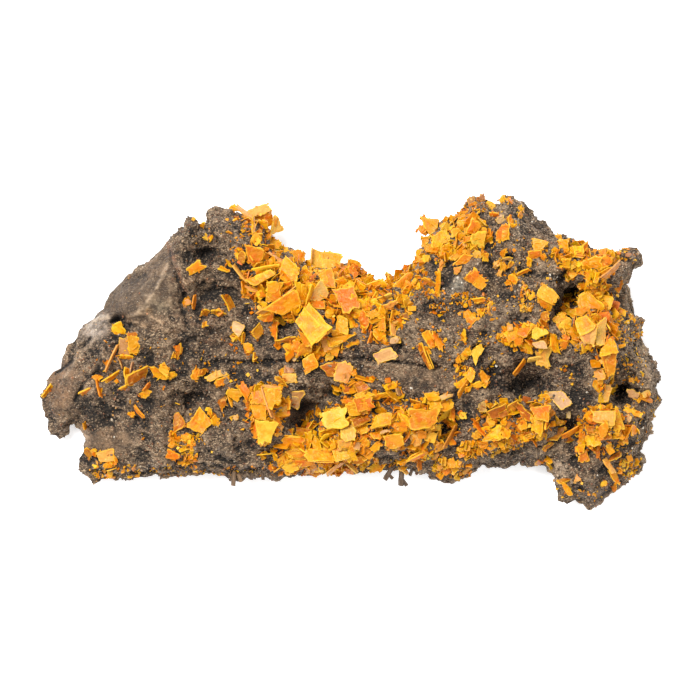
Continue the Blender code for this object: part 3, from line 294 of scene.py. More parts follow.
# Tiny crystals: chart left, top, right, bottom, how many, size in millimetres, colours
DRUSE = (
    (618, 248, 640, 262, 36, 0.45, "golden tan"), (90, 462, 118, 479, 60, 0.55, "golden yellow"),
    (120, 464, 142, 477, 26, 0.45, "yellow golden"), (150, 465, 200, 476, 36, 0.4, "golden tan"),
    (169, 431, 178, 446, 22, 0.5, "golden orange"), (177, 434, 206, 448, 60, 0.5, "golden yellow"),
    (182, 448, 196, 464, 50, 0.6, "golden yellow"), (200, 466, 290, 476, 46, 0.4, "golden tan"),
    (240, 225, 253, 241, 26, 0.5, "golden orange"), (228, 238, 252, 262, 14, 0.4, "golden orange"),
    (411, 286, 431, 302, 30, 0.5, "golden amber"), (428, 288, 447, 316, 44, 0.55, "golden peach"),
    (452, 293, 486, 306, 70, 0.55, "golden orange"), (484, 298, 493, 316, 26, 0.55, "golden peach"),
    (518, 287, 532, 312, 60, 0.6, "golden peach"), (500, 190, 513, 204, 34, 0.5, "golden yellow"),
    (464, 192, 486, 213, 90, 0.5, "golden tan"), (417, 222, 446, 262, 150, 0.7, "golden yellow"),
    (444, 208, 470, 240, 70, 0.6, "golden yellow"), (440, 240, 458, 254, 26, 0.6, "golden peach"),
    (405, 262, 425, 290, 40, 0.6, "golden orange"), (452, 364, 466, 373, 26, 0.5, "golden orange"),
    (494, 437, 517, 450, 70, 0.6, "golden yellow"), (513, 424, 546, 441, 130, 0.6, "golden yellow"),
    (458, 442, 482, 458, 90, 0.6, "golden yellow"), (487, 448, 498, 457, 16, 0.5, "yellow pinkish"),
    (588, 282, 606, 300, 60, 0.7, "golden yellow"), (618, 458, 638, 478, 70, 0.55, "golden yellow"),
    (612, 308, 644, 346, 130, 0.45, "golden yellow"), (618, 348, 645, 382, 36, 0.5, "golden yellow"),
    (299, 259, 313, 276, 30, 0.55, "golden tan"), (538, 392, 550, 404, 26, 0.55, "golden yellow"),
    (558, 366, 572, 390, 12, 0.5, "amber golden"), (388, 420, 402, 432, 26, 0.6, "golden yellow"),
    (366, 428, 382, 440, 26, 0.6, "golden pinkish"), (328, 430, 342, 444, 30, 0.6, "golden orange"),
    (356, 436, 370, 448, 22, 0.55, "golden peach"), (385, 458, 402, 470, 20, 0.5, "golden yellow"),
    (406, 448, 430, 462, 44, 0.55, "golden yellow"), (434, 460, 446, 474, 60, 0.7, "golden yellow"),
    (446, 462, 470, 480, 60, 0.55, "golden yellow"), (572, 342, 598, 354, 36, 0.55, "golden pinkish"),
    (500, 330, 560, 352, 60, 0.55, "golden orange"), (576, 306, 615, 345, 96, 0.6, "golden orange"),
    (556, 238, 616, 282, 120, 0.6, "golden yellow"), (530, 240, 552, 262, 30, 0.5, "golden orange"),
    (244, 268, 310, 318, 90, 0.55, "golden orange"), (304, 262, 356, 300, 60, 0.55, "golden orange"),
    (340, 285, 405, 340, 170, 0.6, "golden orange"), (290, 335, 345, 362, 60, 0.55, "golden orange"),
    (248, 384, 284, 438, 80, 0.55, "golden orange"), (262, 440, 366, 476, 150, 0.6, "golden orange"),
    (310, 400, 380, 450, 110, 0.6, "golden orange"), (376, 398, 455, 460, 170, 0.6, "golden yellow"),
    (470, 398, 530, 450, 110, 0.6, "golden orange"), (576, 405, 624, 452, 90, 0.6, "golden orange"),
    (595, 340, 618, 402, 40, 0.55, "golden peach"), (448, 200, 520, 262, 60, 0.5, "golden tan"),
    (496, 252, 560, 312, 60, 0.45, "golden peach"), (406, 326, 446, 356, 20, 0.5, "orange golden"),
    (440, 340, 500, 384, 50, 0.5, "golden orange"), (560, 480, 606, 502, 24, 0.45, "golden yellow"),
    (606, 384, 660, 440, 50, 0.45, "golden yellow"), (90, 330, 180, 400, 40, 0.45, "golden orange"),
    (200, 330, 262, 384, 36, 0.45, "golden orange"), (190, 200, 262, 250, 24, 0.45, "golden yellow"),
    (420, 296, 520, 350, 70, 0.45, "golden orange"), (243, 205, 276, 236, 40, 0.5, "golden orange"),
    (610, 425, 650, 470, 36, 0.45, "golden yellow"), (130, 400, 250, 460, 30, 0.4, "golden orange"),
)

# Thickets: small tablets that fill the ground between the large ones, listed as the tiny crystals are
THICKETS = (
    (246, 258, 312, 318, 190, 1.3, "golden orange"), (300, 262, 372, 318, 210, 1.3, "golden orange"),
    (352, 268, 410, 330, 170, 1.2, "golden orange"), (280, 330, 345, 360, 70, 1.1, "golden orange"),
    (250, 384, 286, 436, 90, 1.3, "golden orange"), (266, 440, 366, 474, 220, 1.3, "golden orange"),
    (300, 410, 380, 450, 130, 1.2, "golden orange"), (378, 400, 455, 452, 150, 1.2, "golden orange"),
    (340, 378, 400, 404, 70, 1.1, "golden orange"), (416, 212, 486, 256, 230, 1.2, "golden yellow"),
    (404, 258, 426, 290, 50, 1.1, "golden orange"), (554, 236, 618, 276, 190, 1.2, "golden orange"),
    (560, 290, 616, 346, 170, 1.3, "golden orange"), (500, 324, 552, 350, 90, 1.1, "golden orange"),
    (576, 408, 624, 450, 120, 1.2, "golden orange"), (484, 400, 552, 440, 120, 1.1, "golden amber"),
    (244, 204, 280, 236, 60, 1.2, "golden orange"), (594, 340, 616, 400, 40, 1.1, "golden orange"),
    (238, 238, 284, 266, 60, 1.1, "golden orange"), (458, 440, 486, 456, 30, 1.0, "golden yellow"),
    (588, 280, 606, 302, 30, 1.0, "golden orange"),
)

# Tablets by group: colour, the way the face looks in degrees from the chart's right towards its top, its
# slope in degrees, millimetres it is lifted, and its corners on the chart. Two corners are a blade on edge.
TABLETS = {}
TABLETS["left_hollow"] = (
    ("golden", 240, 28, 0, 110, 326, 121, 322, 127, 333, 121, 343),
    ("golden", 320, 18, 0.3, 127, 336, 142, 337, 139, 354, 130, 353),
    ("tan", 200, 20, 0, 120, 338, 131, 337, 131, 355, 119, 356),
    ("amber", 80, 50, 0, 127, 333, 137, 332, 139, 336, 128, 337),
    ("golden", 270, 50, 0, 119, 355, 134, 356, 133, 359, 121, 359),
    ("tan", 0, 75, 0, 119, 358, 123, 369),
    ("tan", 0, 75, 0, 133, 362, 131, 373),
)
TABLETS["left_blades"] = (
    ("amber", 315, 50, 0.2, 128, 376, 149, 365, 146, 381, 128, 387),
    ("orange", 320, 60, 0, 104, 381, 127, 366, 129, 368, 108, 383),
    ("orange", 0, 55, 0.3, 124, 370, 129, 366, 131, 378, 127, 387),
    ("peach", 0, 80, 0.5, 118.5, 344, 106, 371),
    ("golden", 200, 30, 0, 105, 362, 109, 358, 110, 364, 106, 366),
    ("amber", 300, 50, 0, 120, 389, 129, 384, 128, 388, 122, 390),
    ("golden", 0, 20, 0, 115, 380, 119, 378, 119, 382, 115, 382),
    ("orange", 0, 75, 0.3, 97, 380, 101, 397),
    ("golden", 100, 35, 0, 91, 377, 97, 374, 104, 377, 98, 381),
)
TABLETS["left_leaf"] = (
    ("orange", 230, 25, 0, 150, 369, 155, 367, 171, 378, 158, 379),
    ("yellow", 60, 30, 0.4, 158, 369, 165, 361, 170, 370, 168, 377),
    ("golden", 280, 25, 0.2, 167, 373, 174, 372, 177, 375, 170, 380),
)
TABLETS["loose_west"] = (
    ("peach", 100, 20, 0.4, 184, 299, 191, 298, 192, 305, 186, 306),
    ("orange", 0, 70, 0.3, 194.5, 295.5, 192, 309),
    ("orange", 200, 70, 0.3, 135.5, 405.5, 144.5, 416),
    ("golden", 140, 30, 0.3, 129, 413, 133, 411, 135, 415, 131, 417),
    ("peach", 90, 15, 0.3, 232, 415, 238, 414, 238, 420, 233, 421),
    ("golden", 60, 25, 0.3, 203, 323, 207, 322, 208, 326, 204, 327),
    ("golden", 80, 25, 0.3, 192, 468, 197, 467, 197, 472, 193, 472),
    ("golden", 270, 20, 0, 138, 394, 146, 389, 153, 392, 145, 399),
    ("orange", 0, 70, 0.4, 149.5, 383, 143, 391),
    ("amber", 200, 45, 0, 175, 348, 181, 343, 181, 353, 178, 359),
    ("orange", 200, 30, 0, 172, 354, 176, 354, 176, 358, 172, 358),
    ("amber", 290, 55, 0, 80, 393, 96, 386, 97, 389, 83, 395),
    ("orange", 300, 55, 0, 40, 397, 50, 384, 53, 387, 43, 398),
    ("orange", 250, 25, 0.2, 168, 449, 181, 455, 178, 460, 166, 458),
    ("golden", 250, 25, 0, 170, 440, 174, 437, 176, 443, 172, 446),
    ("golden", 260, 20, 0, 178, 463, 184, 460, 190, 463, 186, 467),
    ("orange", 0, 70, 0, 172, 438, 180, 442), ("orange", 0, 70, 0, 170, 432, 171, 440),
    ("golden", 60, 35, 0, 178, 448, 187, 444, 190, 449, 181, 452),
    ("golden", 200, 35, 0, 187, 450, 193, 449, 193, 459, 189, 459),
    ("yellow", 70, 30, 0, 181, 434, 190, 435, 190, 440, 182, 440),
    ("orange", 10, 30, 0.4, 197, 366, 201, 371, 197, 382, 191, 377),
    ("amber", 40, 35, 0, 200, 368, 208, 369, 205, 375, 198, 377),
    ("golden", 70, 50, 0, 218, 269, 222, 266, 230, 271, 228, 272),
    ("amber", 280, 50, 0, 201, 311, 210, 309, 212, 314, 202, 316),
    ("amber", 280, 55, 0, 212, 311, 219, 311, 228, 315, 217, 316),
    ("golden", 20, 35, 0, 200, 224, 204, 222, 207, 228, 205, 231),
    ("yellow", 250, 15, 0, 203, 238, 206, 235, 210, 237, 208, 241),
    ("golden", 20, 40, 0, 210, 239, 212, 235, 214, 236, 211, 241),
    ("golden", 110, 25, 0.2, 242, 343, 252, 343, 254, 354, 247, 351),
    ("amber", 250, 40, 0, 246, 353, 251, 352, 250, 358, 247, 356),
    ("amber", 0, 50, 0, 254, 352, 256, 352, 256, 361, 254, 361),
)
TABLETS["foot_left"] = (
    ("peach", 250, 18, 0.2, 96, 453, 113, 448, 114, 461, 99, 462),
    ("golden", 0, 35, 0, 113, 454, 116, 456, 118, 463, 114, 464),
    ("amber", 250, 35, 0, 80, 451, 86, 448, 93, 455, 88, 459),
    ("golden", 200, 50, 0, 92, 450, 94, 449, 96, 456, 94, 457),
    ("yellow", 250, 20, 0, 106, 469, 113, 470, 111, 478, 108, 479),
    ("amber", 0, 70, 0, 84, 430, 83, 422),
    ("golden", 250, 20, 0, 102, 463, 112, 462, 112, 468, 104, 469),
)
TABLETS["lower_pair"] = (
    ("orange", 45, 15, 0.5, 187, 426, 200, 407, 213, 421, 203, 434),
    ("amber", 130, 25, 0.3, 174, 414, 179, 412, 187, 425, 173, 434),
    ("golden", 200, 40, 0.4, 207, 407, 211, 409, 213, 418, 208, 414),
    ("golden", 30, 30, 0.2, 211, 418, 218, 413, 221, 427, 213, 424),
)
TABLETS["cream_bar"] = (
    ("peach", 110, 20, 0.3, 205, 377, 224, 369, 228, 374, 208, 383),
    ("orange", 300, 30, 0, 214, 381, 230, 375, 229, 383, 217, 387),
)
TABLETS["hollow_shell"] = (
    ("golden", 240, 22, 0.2, 186, 270, 199, 261, 206, 268, 191, 276),
)
TABLETS["dark_kite"] = (
    ("amber", 20, 50, 0.3, 222, 295, 229, 295, 237, 310, 231, 314),
)
TABLETS["peak"] = (
    ("peach", 80, 30, 0.8, 243, 210, 268, 203, 272, 212, 252, 217),
    ("orange", 300, 30, 0.5, 253, 217, 272, 212, 274, 225, 256, 229),
    ("peach", 350, 35, 0, 274, 215, 278, 217, 283, 230, 270, 236),
    ("golden", 250, 30, 0.8, 258, 220, 267, 221, 269, 231, 260, 233),
    ("golden", 80, 35, 0, 226, 209, 234, 203, 240, 210, 231, 211),
    ("peach", 0, 65, 0.3, 236, 208, 250, 218), ("golden", 0, 75, 1, 253.5, 219, 253.5, 234),
    ("golden", 300, 40, 0, 232, 222, 238, 218, 240, 219, 233, 223),
    ("amber", 250, 40, 0, 244, 217, 251, 219, 252, 226, 245, 223),
)
TABLETS["upper_left_stack"] = (
    ("orange", 290, 22, 0.5, 246, 246, 267, 250, 258, 269, 249, 261),
    ("amber", 200, 30, 0, 237, 258, 243, 250, 247, 260, 241, 265),
    ("orange", 340, 40, 0.3, 261, 252, 267, 249, 270, 262, 262, 263),
    ("golden", 60, 25, 0.2, 268, 237, 281, 242, 280, 250, 268, 248),
    ("orange", 110, 35, 0.2, 262, 239, 270, 232, 272, 237, 265, 241),
    ("golden", 320, 35, 0, 272, 250, 282, 251, 280, 259, 275, 256),
    ("peach", 0, 75, 0.3, 269, 253, 277, 260),
)
TABLETS["upper_left_fan"] = (
    ("golden", 170, 18, 1.6, 286, 256, 300, 270, 294, 285, 278, 275),
    ("golden", 60, 30, 0.6, 290, 252, 297, 249, 305, 253, 302, 266),
    ("golden", 120, 18, 1, 246, 280, 271, 270, 276, 275, 254, 287),
    ("golden", 290, 45, 0.6, 252, 270, 279, 265, 280, 268, 262, 272),
    ("golden", 250, 22, 1, 268, 283, 283, 281, 282, 301, 267, 302),
    ("orange", 305, 22, 1.4, 262, 311, 296, 288, 302, 306, 285, 315),
    ("golden", 0, 35, 1, 296, 282, 309, 287, 305, 306, 297, 300),
    ("golden", 110, 35, 0.4, 259, 300, 269, 303, 266, 309, 261, 305),
    ("peach", 110, 45, 0.3, 241, 283, 247, 286, 260, 292, 250, 291),
    ("golden", 200, 20, 0.2, 241, 292, 246, 288, 251, 293, 247, 299),
    ("peach", 0, 70, 0.3, 234, 267, 249, 284),
    ("golden", 230, 30, 0, 227, 260, 233, 267, 231, 269, 227, 263),
    ("orange", 250, 40, 0.6, 284, 283, 292, 281, 294, 287, 286, 290),
    ("peach", 0, 65, 1.8, 258, 313, 295, 288),
    ("yellow", 60, 30, 0, 283, 250, 290, 249, 292, 254, 285, 256),
    ("golden", 200, 35, 0.2, 252, 286, 260, 290, 258, 298, 253, 296),
)
TABLETS["pink_flake"] = (
    ("pinkish", 200, 15, 0.3, 233, 319, 246, 326, 239, 338, 232, 330),
    ("yellow", 200, 25, 0, 229, 334, 234, 333, 237, 338, 233, 342),
    ("orange", 330, 55, 0, 243, 332, 246, 333, 244, 344, 242, 343),
    ("golden", 330, 45, 0, 238, 335, 243, 334, 241, 341, 239, 340),
)
TABLETS["hanging_leaves"] = (
    ("golden", 280, 35, 0.6, 257, 317, 270, 314, 279, 322, 262, 321),
    ("amber", 10, 30, 0.2, 251, 333, 261, 321, 264, 333, 258, 340),
    ("orange", 170, 35, 0.2, 270, 322, 279, 321, 276, 342, 270, 331),
)
TABLETS["tall_kite"] = (
    ("golden", 140, 16, 2, 309, 302, 331, 327, 312, 345, 296, 322),
    ("orange", 280, 22, 1.6, 311, 322, 332, 328, 326, 338, 312, 341),
    ("golden", 200, 22, 0.4, 289, 342, 299, 339, 304, 350, 291, 353),
    ("orange", 290, 25, 0.5, 300, 345, 312, 341, 311, 353, 297, 358),
    ("pinkish", 200, 25, 0, 291, 351, 299, 352, 298, 361, 293, 361),
    ("amber", 280, 45, 0.5, 277, 341, 290, 337, 300, 338, 289, 345),
    ("golden", 200, 35, 1.2, 299, 331, 312, 337, 311, 347, 304, 345),
    ("orange", 100, 40, 0, 284, 318, 298, 315, 299, 320, 288, 322),
)
TABLETS["round_leaf"] = (
    ("golden", 250, 12, 0.4, 302, 360, 314, 353, 319, 366, 305, 375),
)
TABLETS["top_pale"] = (
    ("yellow", 80, 16, 1, 312, 248, 343, 253, 336, 275, 313, 267),
    ("golden", 100, 20, 1.4, 319, 271, 332, 268, 336, 289, 322, 286),
    ("peach", 300, 18, 1.8, 321, 281, 331, 296, 318, 302, 308, 299),
    ("amber", 110, 35, 0.4, 304, 279, 316, 274, 313, 284, 306, 285),
    ("golden", 250, 25, 0.8, 335, 281, 342, 277, 351, 283, 344, 291),
    ("amber", 110, 35, 0.4, 336, 276, 342, 265, 349, 267, 349, 281),
    ("orange", 60, 35, 0.4, 348, 266, 355, 265, 358, 275, 352, 284),
    ("golden", 50, 40, 0.2, 357, 271, 362, 267, 366, 273, 360, 279),
    ("golden", 320, 45, 0.2, 362, 282, 370, 273, 373, 276, 365, 283),
    ("golden", 200, 35, 0, 304, 261, 312, 260, 311, 268, 305, 270),
    ("peach", 0, 75, 1.6, 311.5, 248, 311.5, 262), ("golden", 0, 70, 1.6, 306, 305, 312, 285),
    ("pinkish", 80, 40, 0.4, 350, 264, 356, 264, 358, 267, 351, 268),
    ("yellow", 90, 35, 0.2, 309, 271, 318, 269, 317, 274, 311, 275),
)
TABLETS["centre_tangle"] = (
    ("orange", 160, 12, 1.4, 334, 291, 353, 288, 361, 307, 343, 313),
    ("golden", 310, 25, 1, 350, 294, 367, 303, 362, 311, 349, 309),
    ("yellow", 80, 40, 1.4, 345, 290, 350, 286, 354, 292, 350, 295),
    ("golden", 100, 30, 0.8, 364, 313, 374, 310, 381, 314, 370, 320),
    ("golden", 10, 35, 0.6, 379, 307, 386, 310, 385, 321, 378, 318),
    ("golden", 200, 25, 0.8, 376, 318, 385, 318, 385, 331, 377, 330),
    ("orange", 210, 25, 0.6, 357, 318, 363, 309, 371, 322, 364, 334),
    ("peach", 310, 35, 0.5, 382, 306, 395, 301, 397, 304, 386, 314),
    ("golden", 10, 40, 0.4, 397, 297, 401, 295, 402, 305, 396, 303),
    ("golden", 100, 35, 0.2, 364, 299, 372, 297, 378, 302, 368, 308),
    ("golden", 200, 40, 0.4, 376, 303, 381, 305, 380, 313, 375, 311),
    ("yellow", 340, 35, 0, 403, 300, 408, 298, 410, 306, 405, 308),
    ("golden", 100, 40, 0.8, 369, 320, 379, 317, 380, 320, 371, 324),
    ("orange", 20, 60, 0, 394, 310, 396, 310, 393, 320, 391, 320),
    ("tan", 300, 20, 0, 402, 314, 406, 313, 409, 318, 404, 319),
    ("orange", 40, 28, 0.4, 371, 331, 380, 327, 387, 335, 378, 342),
    ("golden", 240, 45, 0.2, 377, 338, 384, 336, 388, 345, 383, 345),
    ("peach", 60, 35, 0.4, 385, 318, 398, 321, 396, 324, 388, 321),
    ("peach", 10, 40, 0.2, 390, 320, 394, 320, 396, 338, 391, 336),
    ("pinkish", 270, 25, 0.4, 386, 340, 396, 336, 400, 339, 393, 347),
    ("orange", 0, 65, 0.2, 371, 332, 368, 343),
)
TABLETS["long_golden"] = (
    ("golden", 290, 22, 0.8, 357, 288, 383, 279, 389, 287, 366, 295),
    ("golden", 250, 30, 0.4, 354, 291, 361, 283, 366, 288, 360, 296),
    ("golden", 320, 20, 1, 393, 286, 411, 270, 415, 278, 399, 291),
    ("peach", 200, 40, 0.6, 383, 275, 387, 273, 394, 283, 390, 286),
    ("golden", 40, 50, 0.4, 388, 274, 396, 282, 394, 286, 390, 283),
    ("amber", 130, 50, 0.4, 394, 277, 412, 264, 414, 267, 397, 280),
    ("orange", 340, 35, 0.2, 401, 290, 408, 286, 409, 291, 403, 298),
    ("peach", 290, 50, 0, 376, 299, 390, 294, 391, 296, 378, 302),
)
TABLETS["window_plate"] = (
    ("yellow", 170, 22, 0.8, 338, 315, 348, 319, 348, 335, 335, 332),
    ("golden", 30, 35, 0.2, 348, 319, 355, 319, 357, 328, 351, 328),
    ("golden", 270, 15, 0.2, 323, 312, 331, 309, 337, 314, 328, 319),
    ("golden", 290, 35, 0.2, 330, 330, 346, 333, 345, 338, 333, 337),
    ("orange", 100, 35, 0.6, 311, 300, 324, 301, 326, 309, 313, 308),
    ("orange", 60, 40, 0, 327, 299, 335, 300, 337, 307, 330, 305),
    ("peach", 200, 20, 0.4, 321, 341, 329, 336, 337, 346, 325, 353),
    ("golden", 280, 25, 0.3, 328, 343, 340, 345, 338, 356, 329, 356),
    ("golden", 110, 30, 0.8, 326, 338, 357, 333, 345, 341, 330, 347),
    ("yellow", 270, 20, 0, 325, 354, 334, 353, 333, 361, 326, 361),
    ("golden", 250, 30, 0, 317, 346, 324, 349, 322, 352, 319, 352),
    ("golden", 110, 35, 0, 346, 346, 352, 341, 353, 344, 348, 348),
    ("golden", 110, 35, 0, 351, 342, 359, 341, 358, 343, 352, 345),
)
TABLETS["pink_flat"] = (
    ("pinkish", 270, 12, 0.3, 372, 354, 391, 347, 398, 358, 378, 364),
)
TABLETS["paired_orange"] = (
    ("orange", 30, 30, 0.5, 421, 334, 427, 330, 438, 344, 430, 349),
    ("orange", 30, 30, 0.3, 430, 334, 434, 332, 445, 345, 439, 351),
    ("amber", 200, 55, 0.2, 415, 343, 421, 343, 431, 368, 429, 370),
    ("golden", 250, 35, 0.2, 420, 345, 427, 347, 431, 353, 423, 355),
)
TABLETS["left_stack"] = (
    ("golden", 40, 15, 1.4, 263, 388, 281, 389, 282, 402, 268, 409),
    ("peach", 90, 40, 0.8, 263, 384, 281, 386, 281, 390, 265, 389),
    ("orange", 160, 15, 1, 252, 392, 266, 389, 269, 405, 252, 403),
    ("golden", 200, 22, 1.2, 250, 403, 267, 404, 266, 420, 255, 419),
    ("yellow", 270, 12, 1.4, 256, 420, 276, 422, 271, 442, 259, 443),
    ("golden", 100, 30, 0.4, 250, 387, 262, 383, 263, 389, 253, 391),
    ("peach", 0, 72, 2, 262, 388, 272, 417),
    ("orange", 200, 45, 0.4, 246, 400, 251, 399, 250, 410, 246, 409),
    ("orange", 180, 50, 0.4, 253, 422, 258, 421, 258, 438, 254, 438),
    ("peach", 350, 35, 0.2, 276, 424, 283, 423, 280, 437, 275, 434),
    ("orange", 20, 40, 0.6, 272, 412, 280, 418, 280, 425, 274, 422),
    ("golden", 270, 50, 0.8, 257, 440, 270, 443, 264, 446, 260, 445),
)
TABLETS["tan_window"] = (
    ("tan", 280, 20, 0.4, 286, 390, 305, 392, 298, 409, 290, 406),
    ("peach", 270, 20, 0.3, 282, 374, 296, 374, 297, 382, 284, 384),
    ("tan", 90, 20, 0, 284, 364, 296, 366, 294, 375, 284, 374),
    ("golden", 170, 30, 0.6, 283, 397, 291, 397, 290, 410, 283, 408),
    ("peach", 250, 25, 0.8, 280, 404, 288, 405, 287, 415, 282, 413),
    ("golden", 170, 35, 0, 279, 369, 284, 370, 283, 377, 280, 375),
    ("amber", 230, 30, 0, 275, 376, 283, 378, 288, 387, 279, 385),
)
TABLETS["ragged_golden"] = (
    ("orange", 60, 20, 0.8, 237, 386, 243, 382, 252, 392, 247, 401),
    ("golden", 250, 20, 0.6, 226, 394, 229, 388, 246, 390, 238, 402),
    ("amber", 230, 25, 0.2, 213, 403, 224, 395, 229, 403, 221, 413),
    ("golden", 0, 65, 0.4, 228, 395, 232, 406),
)
TABLETS["lower_mass"] = (
    ("amber", 90, 35, 0.2, 295, 427, 312, 429, 311, 437, 296, 436),
    ("orange", 270, 25, 0.4, 282, 436, 305, 438, 303, 449, 285, 449),
    ("amber", 100, 35, 0, 286, 430, 293, 428, 293, 435, 286, 435),
    ("golden", 200, 35, 0.8, 304, 433, 311, 431, 312, 447, 306, 447),
    ("yellow", 230, 18, 0.8, 274, 458, 287, 452, 298, 469, 289, 476),
    ("golden", 280, 22, 0.4, 284, 450, 318, 450, 316, 458, 292, 459),
    ("orange", 280, 40, 0.3, 291, 460, 320, 458, 318, 464, 296, 468),
    ("pinkish", 230, 40, 0.2, 304, 475, 312, 464, 321, 464, 314, 472),
    ("golden", 60, 15, 1.1, 306, 449, 332, 449, 334, 461, 308, 461),
    ("yellow", 100, 20, 1.4, 330, 445, 347, 446, 350, 458, 336, 461),
    ("golden", 290, 30, 1.6, 349, 446, 352, 443, 358, 460, 346, 461),
    ("golden", 280, 30, 0.6, 352, 457, 363, 456, 369, 462, 354, 465),
    ("peach", 0, 68, 0.8, 342, 461, 326, 474), ("peach", 0, 68, 0.8, 344, 462, 357, 474),
    ("yellow", 200, 25, 0.2, 321, 466, 331, 465, 328, 474, 321, 474),
    ("golden", 280, 30, 0.2, 357, 462, 366, 461, 369, 469, 361, 472),
    ("amber", 270, 55, 0, 333, 462, 343, 463, 341, 473, 330, 473),
    ("orange", 280, 45, 0.4, 318, 462, 333, 461, 331, 466, 319, 467),
    ("yellow", 150, 14, 1, 320, 411, 344, 405, 348, 425, 324, 429),
    ("golden", 290, 45, 0.2, 318, 431, 343, 426, 345, 430, 323, 437),
    ("golden", 320, 40, 0.4, 343, 420, 350, 416, 352, 424, 346, 429),
    ("amber", 80, 30, 0.4, 351, 418, 367, 415, 371, 420, 354, 427),
    ("orange", 100, 30, 0.2, 353, 428, 366, 423, 370, 430, 357, 435),
    ("peach", 110, 22, 0.6, 340, 427, 354, 424, 356, 438, 343, 442),
    ("peach", 250, 18, 0.8, 337, 440, 351, 437, 352, 449, 339, 450),
    ("pinkish", 20, 25, 0.2, 351, 440, 360, 441, 360, 450, 353, 449),
    ("golden", 250, 25, 0.2, 360, 440, 366, 436, 370, 443, 364, 448),
    ("golden", 190, 30, 0.6, 311, 436, 318, 434, 322, 450, 314, 452),
    ("golden", 0, 65, 0.6, 318, 440, 331, 431), ("golden", 0, 65, 0.4, 320, 440, 328, 447),
    ("golden", 250, 20, 0.4, 370, 462, 386, 463, 382, 471, 370, 474),
    ("yellow", 100, 35, 0.2, 360, 458, 366, 453, 371, 456, 364, 461),
    ("golden", 280, 50, 0.2, 373, 458, 377, 456, 379, 463, 374, 463),
)
TABLETS["triangle_wedge"] = (
    ("amber", 230, 22, 0.2, 320, 365, 338, 362, 339, 377, 328, 376),
    ("peach", 290, 20, 0.3, 337, 362, 353, 364, 348, 385, 333, 378),
    ("golden", 100, 35, 0, 351, 368, 356, 370, 356, 376, 351, 375),
    ("orange", 0, 70, 0.3, 355, 377, 373, 382),
)
TABLETS["disc_stack"] = (
    ("orange", 330, 14, 1.4, 352, 398, 371, 396, 375, 407, 358, 412),
    ("golden", 250, 20, 0.9, 345, 404, 358, 403, 367, 413, 350, 416),
    ("orange", 190, 25, 0.8, 341, 400, 352, 397, 355, 405, 342, 404),
    ("golden", 100, 25, 1, 353, 395, 366, 389, 375, 395, 360, 402),
    ("amber", 120, 30, 0.3, 353, 384, 362, 379, 370, 388, 358, 394),
    ("golden", 290, 40, 0.6, 368, 397, 386, 392, 392, 396, 372, 400),
    ("amber", 110, 35, 0.2, 340, 384, 352, 383, 352, 392, 344, 393),
    ("golden", 110, 40, 0, 330, 384, 337, 386, 345, 392, 335, 391),
    ("golden", 0, 60, 0.5, 386, 392, 398, 402),
)
TABLETS["loose_middle"] = (
    ("golden", 250, 25, 0.2, 383, 385, 394, 381, 397, 388, 384, 391),
    ("pinkish", 0, 60, 0, 396, 388, 398, 396),
    ("orange", 300, 55, 0.4, 408, 460, 438, 446, 440, 448, 412, 462),
    ("golden", 110, 40, 0.1, 397, 463, 408, 455, 410, 459, 402, 464),
    ("golden", 120, 35, 0.3, 399, 470, 408, 461, 410, 464, 403, 472),
    ("peach", 0, 60, 0, 398, 469, 408, 475), ("amber", 0, 60, 0, 417, 458, 417, 470),
    ("golden", 160, 30, 0.2, 417, 249, 425, 251, 423, 262, 415, 262),
    ("golden", 200, 30, 0.2, 414, 262, 423, 260, 421, 271, 413, 270),
    ("orange", 310, 25, 0.6, 451, 266, 464, 254, 471, 257, 466, 265),
    ("golden", 120, 35, 0.3, 448, 258, 458, 252, 462, 254, 453, 262),
    ("peach", 260, 22, 0.2, 452, 268, 461, 267, 458, 274, 454, 275),
    ("peach", 190, 30, 0.2, 439, 262, 443, 259, 444, 267, 438, 275),
    ("golden", 200, 45, 0.6, 436, 272, 440, 272, 438, 295, 434, 293),
    ("amber", 250, 35, 0.3, 421, 279, 424, 278, 437, 285, 432, 289),
    ("orange", 250, 35, 0, 433, 292, 439, 291, 439, 297, 434, 297),
    ("golden", 190, 50, 0.1, 459, 338, 462, 329, 464, 330, 465, 344),
    ("golden", 200, 20, 0.4, 445, 461, 453, 457, 457, 466, 448, 470),
    ("golden", 260, 25, 0.3, 450, 468, 458, 462, 461, 468, 453, 474),
    ("golden", 20, 40, 0.2, 456, 459, 460, 460, 461, 467, 457, 467),
    ("peach", 300, 35, 0.1, 462, 472, 470, 466, 471, 470, 464, 476),
    ("golden", 0, 60, 0.2, 465, 466, 472, 467),
    ("peach", 250, 20, 0, 432, 455, 437, 453, 438, 458, 433, 460),
    ("peach", 250, 20, 0, 436, 465, 441, 463, 443, 468, 438, 470),
)
TABLETS["facing_pair"] = (
    ("golden", 110, 22, 0.8, 370, 428, 376, 415, 393, 411, 391, 424),
    ("orange", 280, 12, 0.6, 381, 435, 402, 432, 404, 446, 387, 450),
    ("golden", 250, 25, 0.4, 370, 448, 378, 440, 382, 444, 374, 453),
    ("golden", 90, 30, 0.3, 370, 433, 380, 431, 381, 438, 373, 438),
    ("orange", 0, 60, 0, 391, 425, 401, 431),
    ("pinkish", 90, 30, 0.2, 379, 431, 386, 429, 390, 431, 380, 434),
)
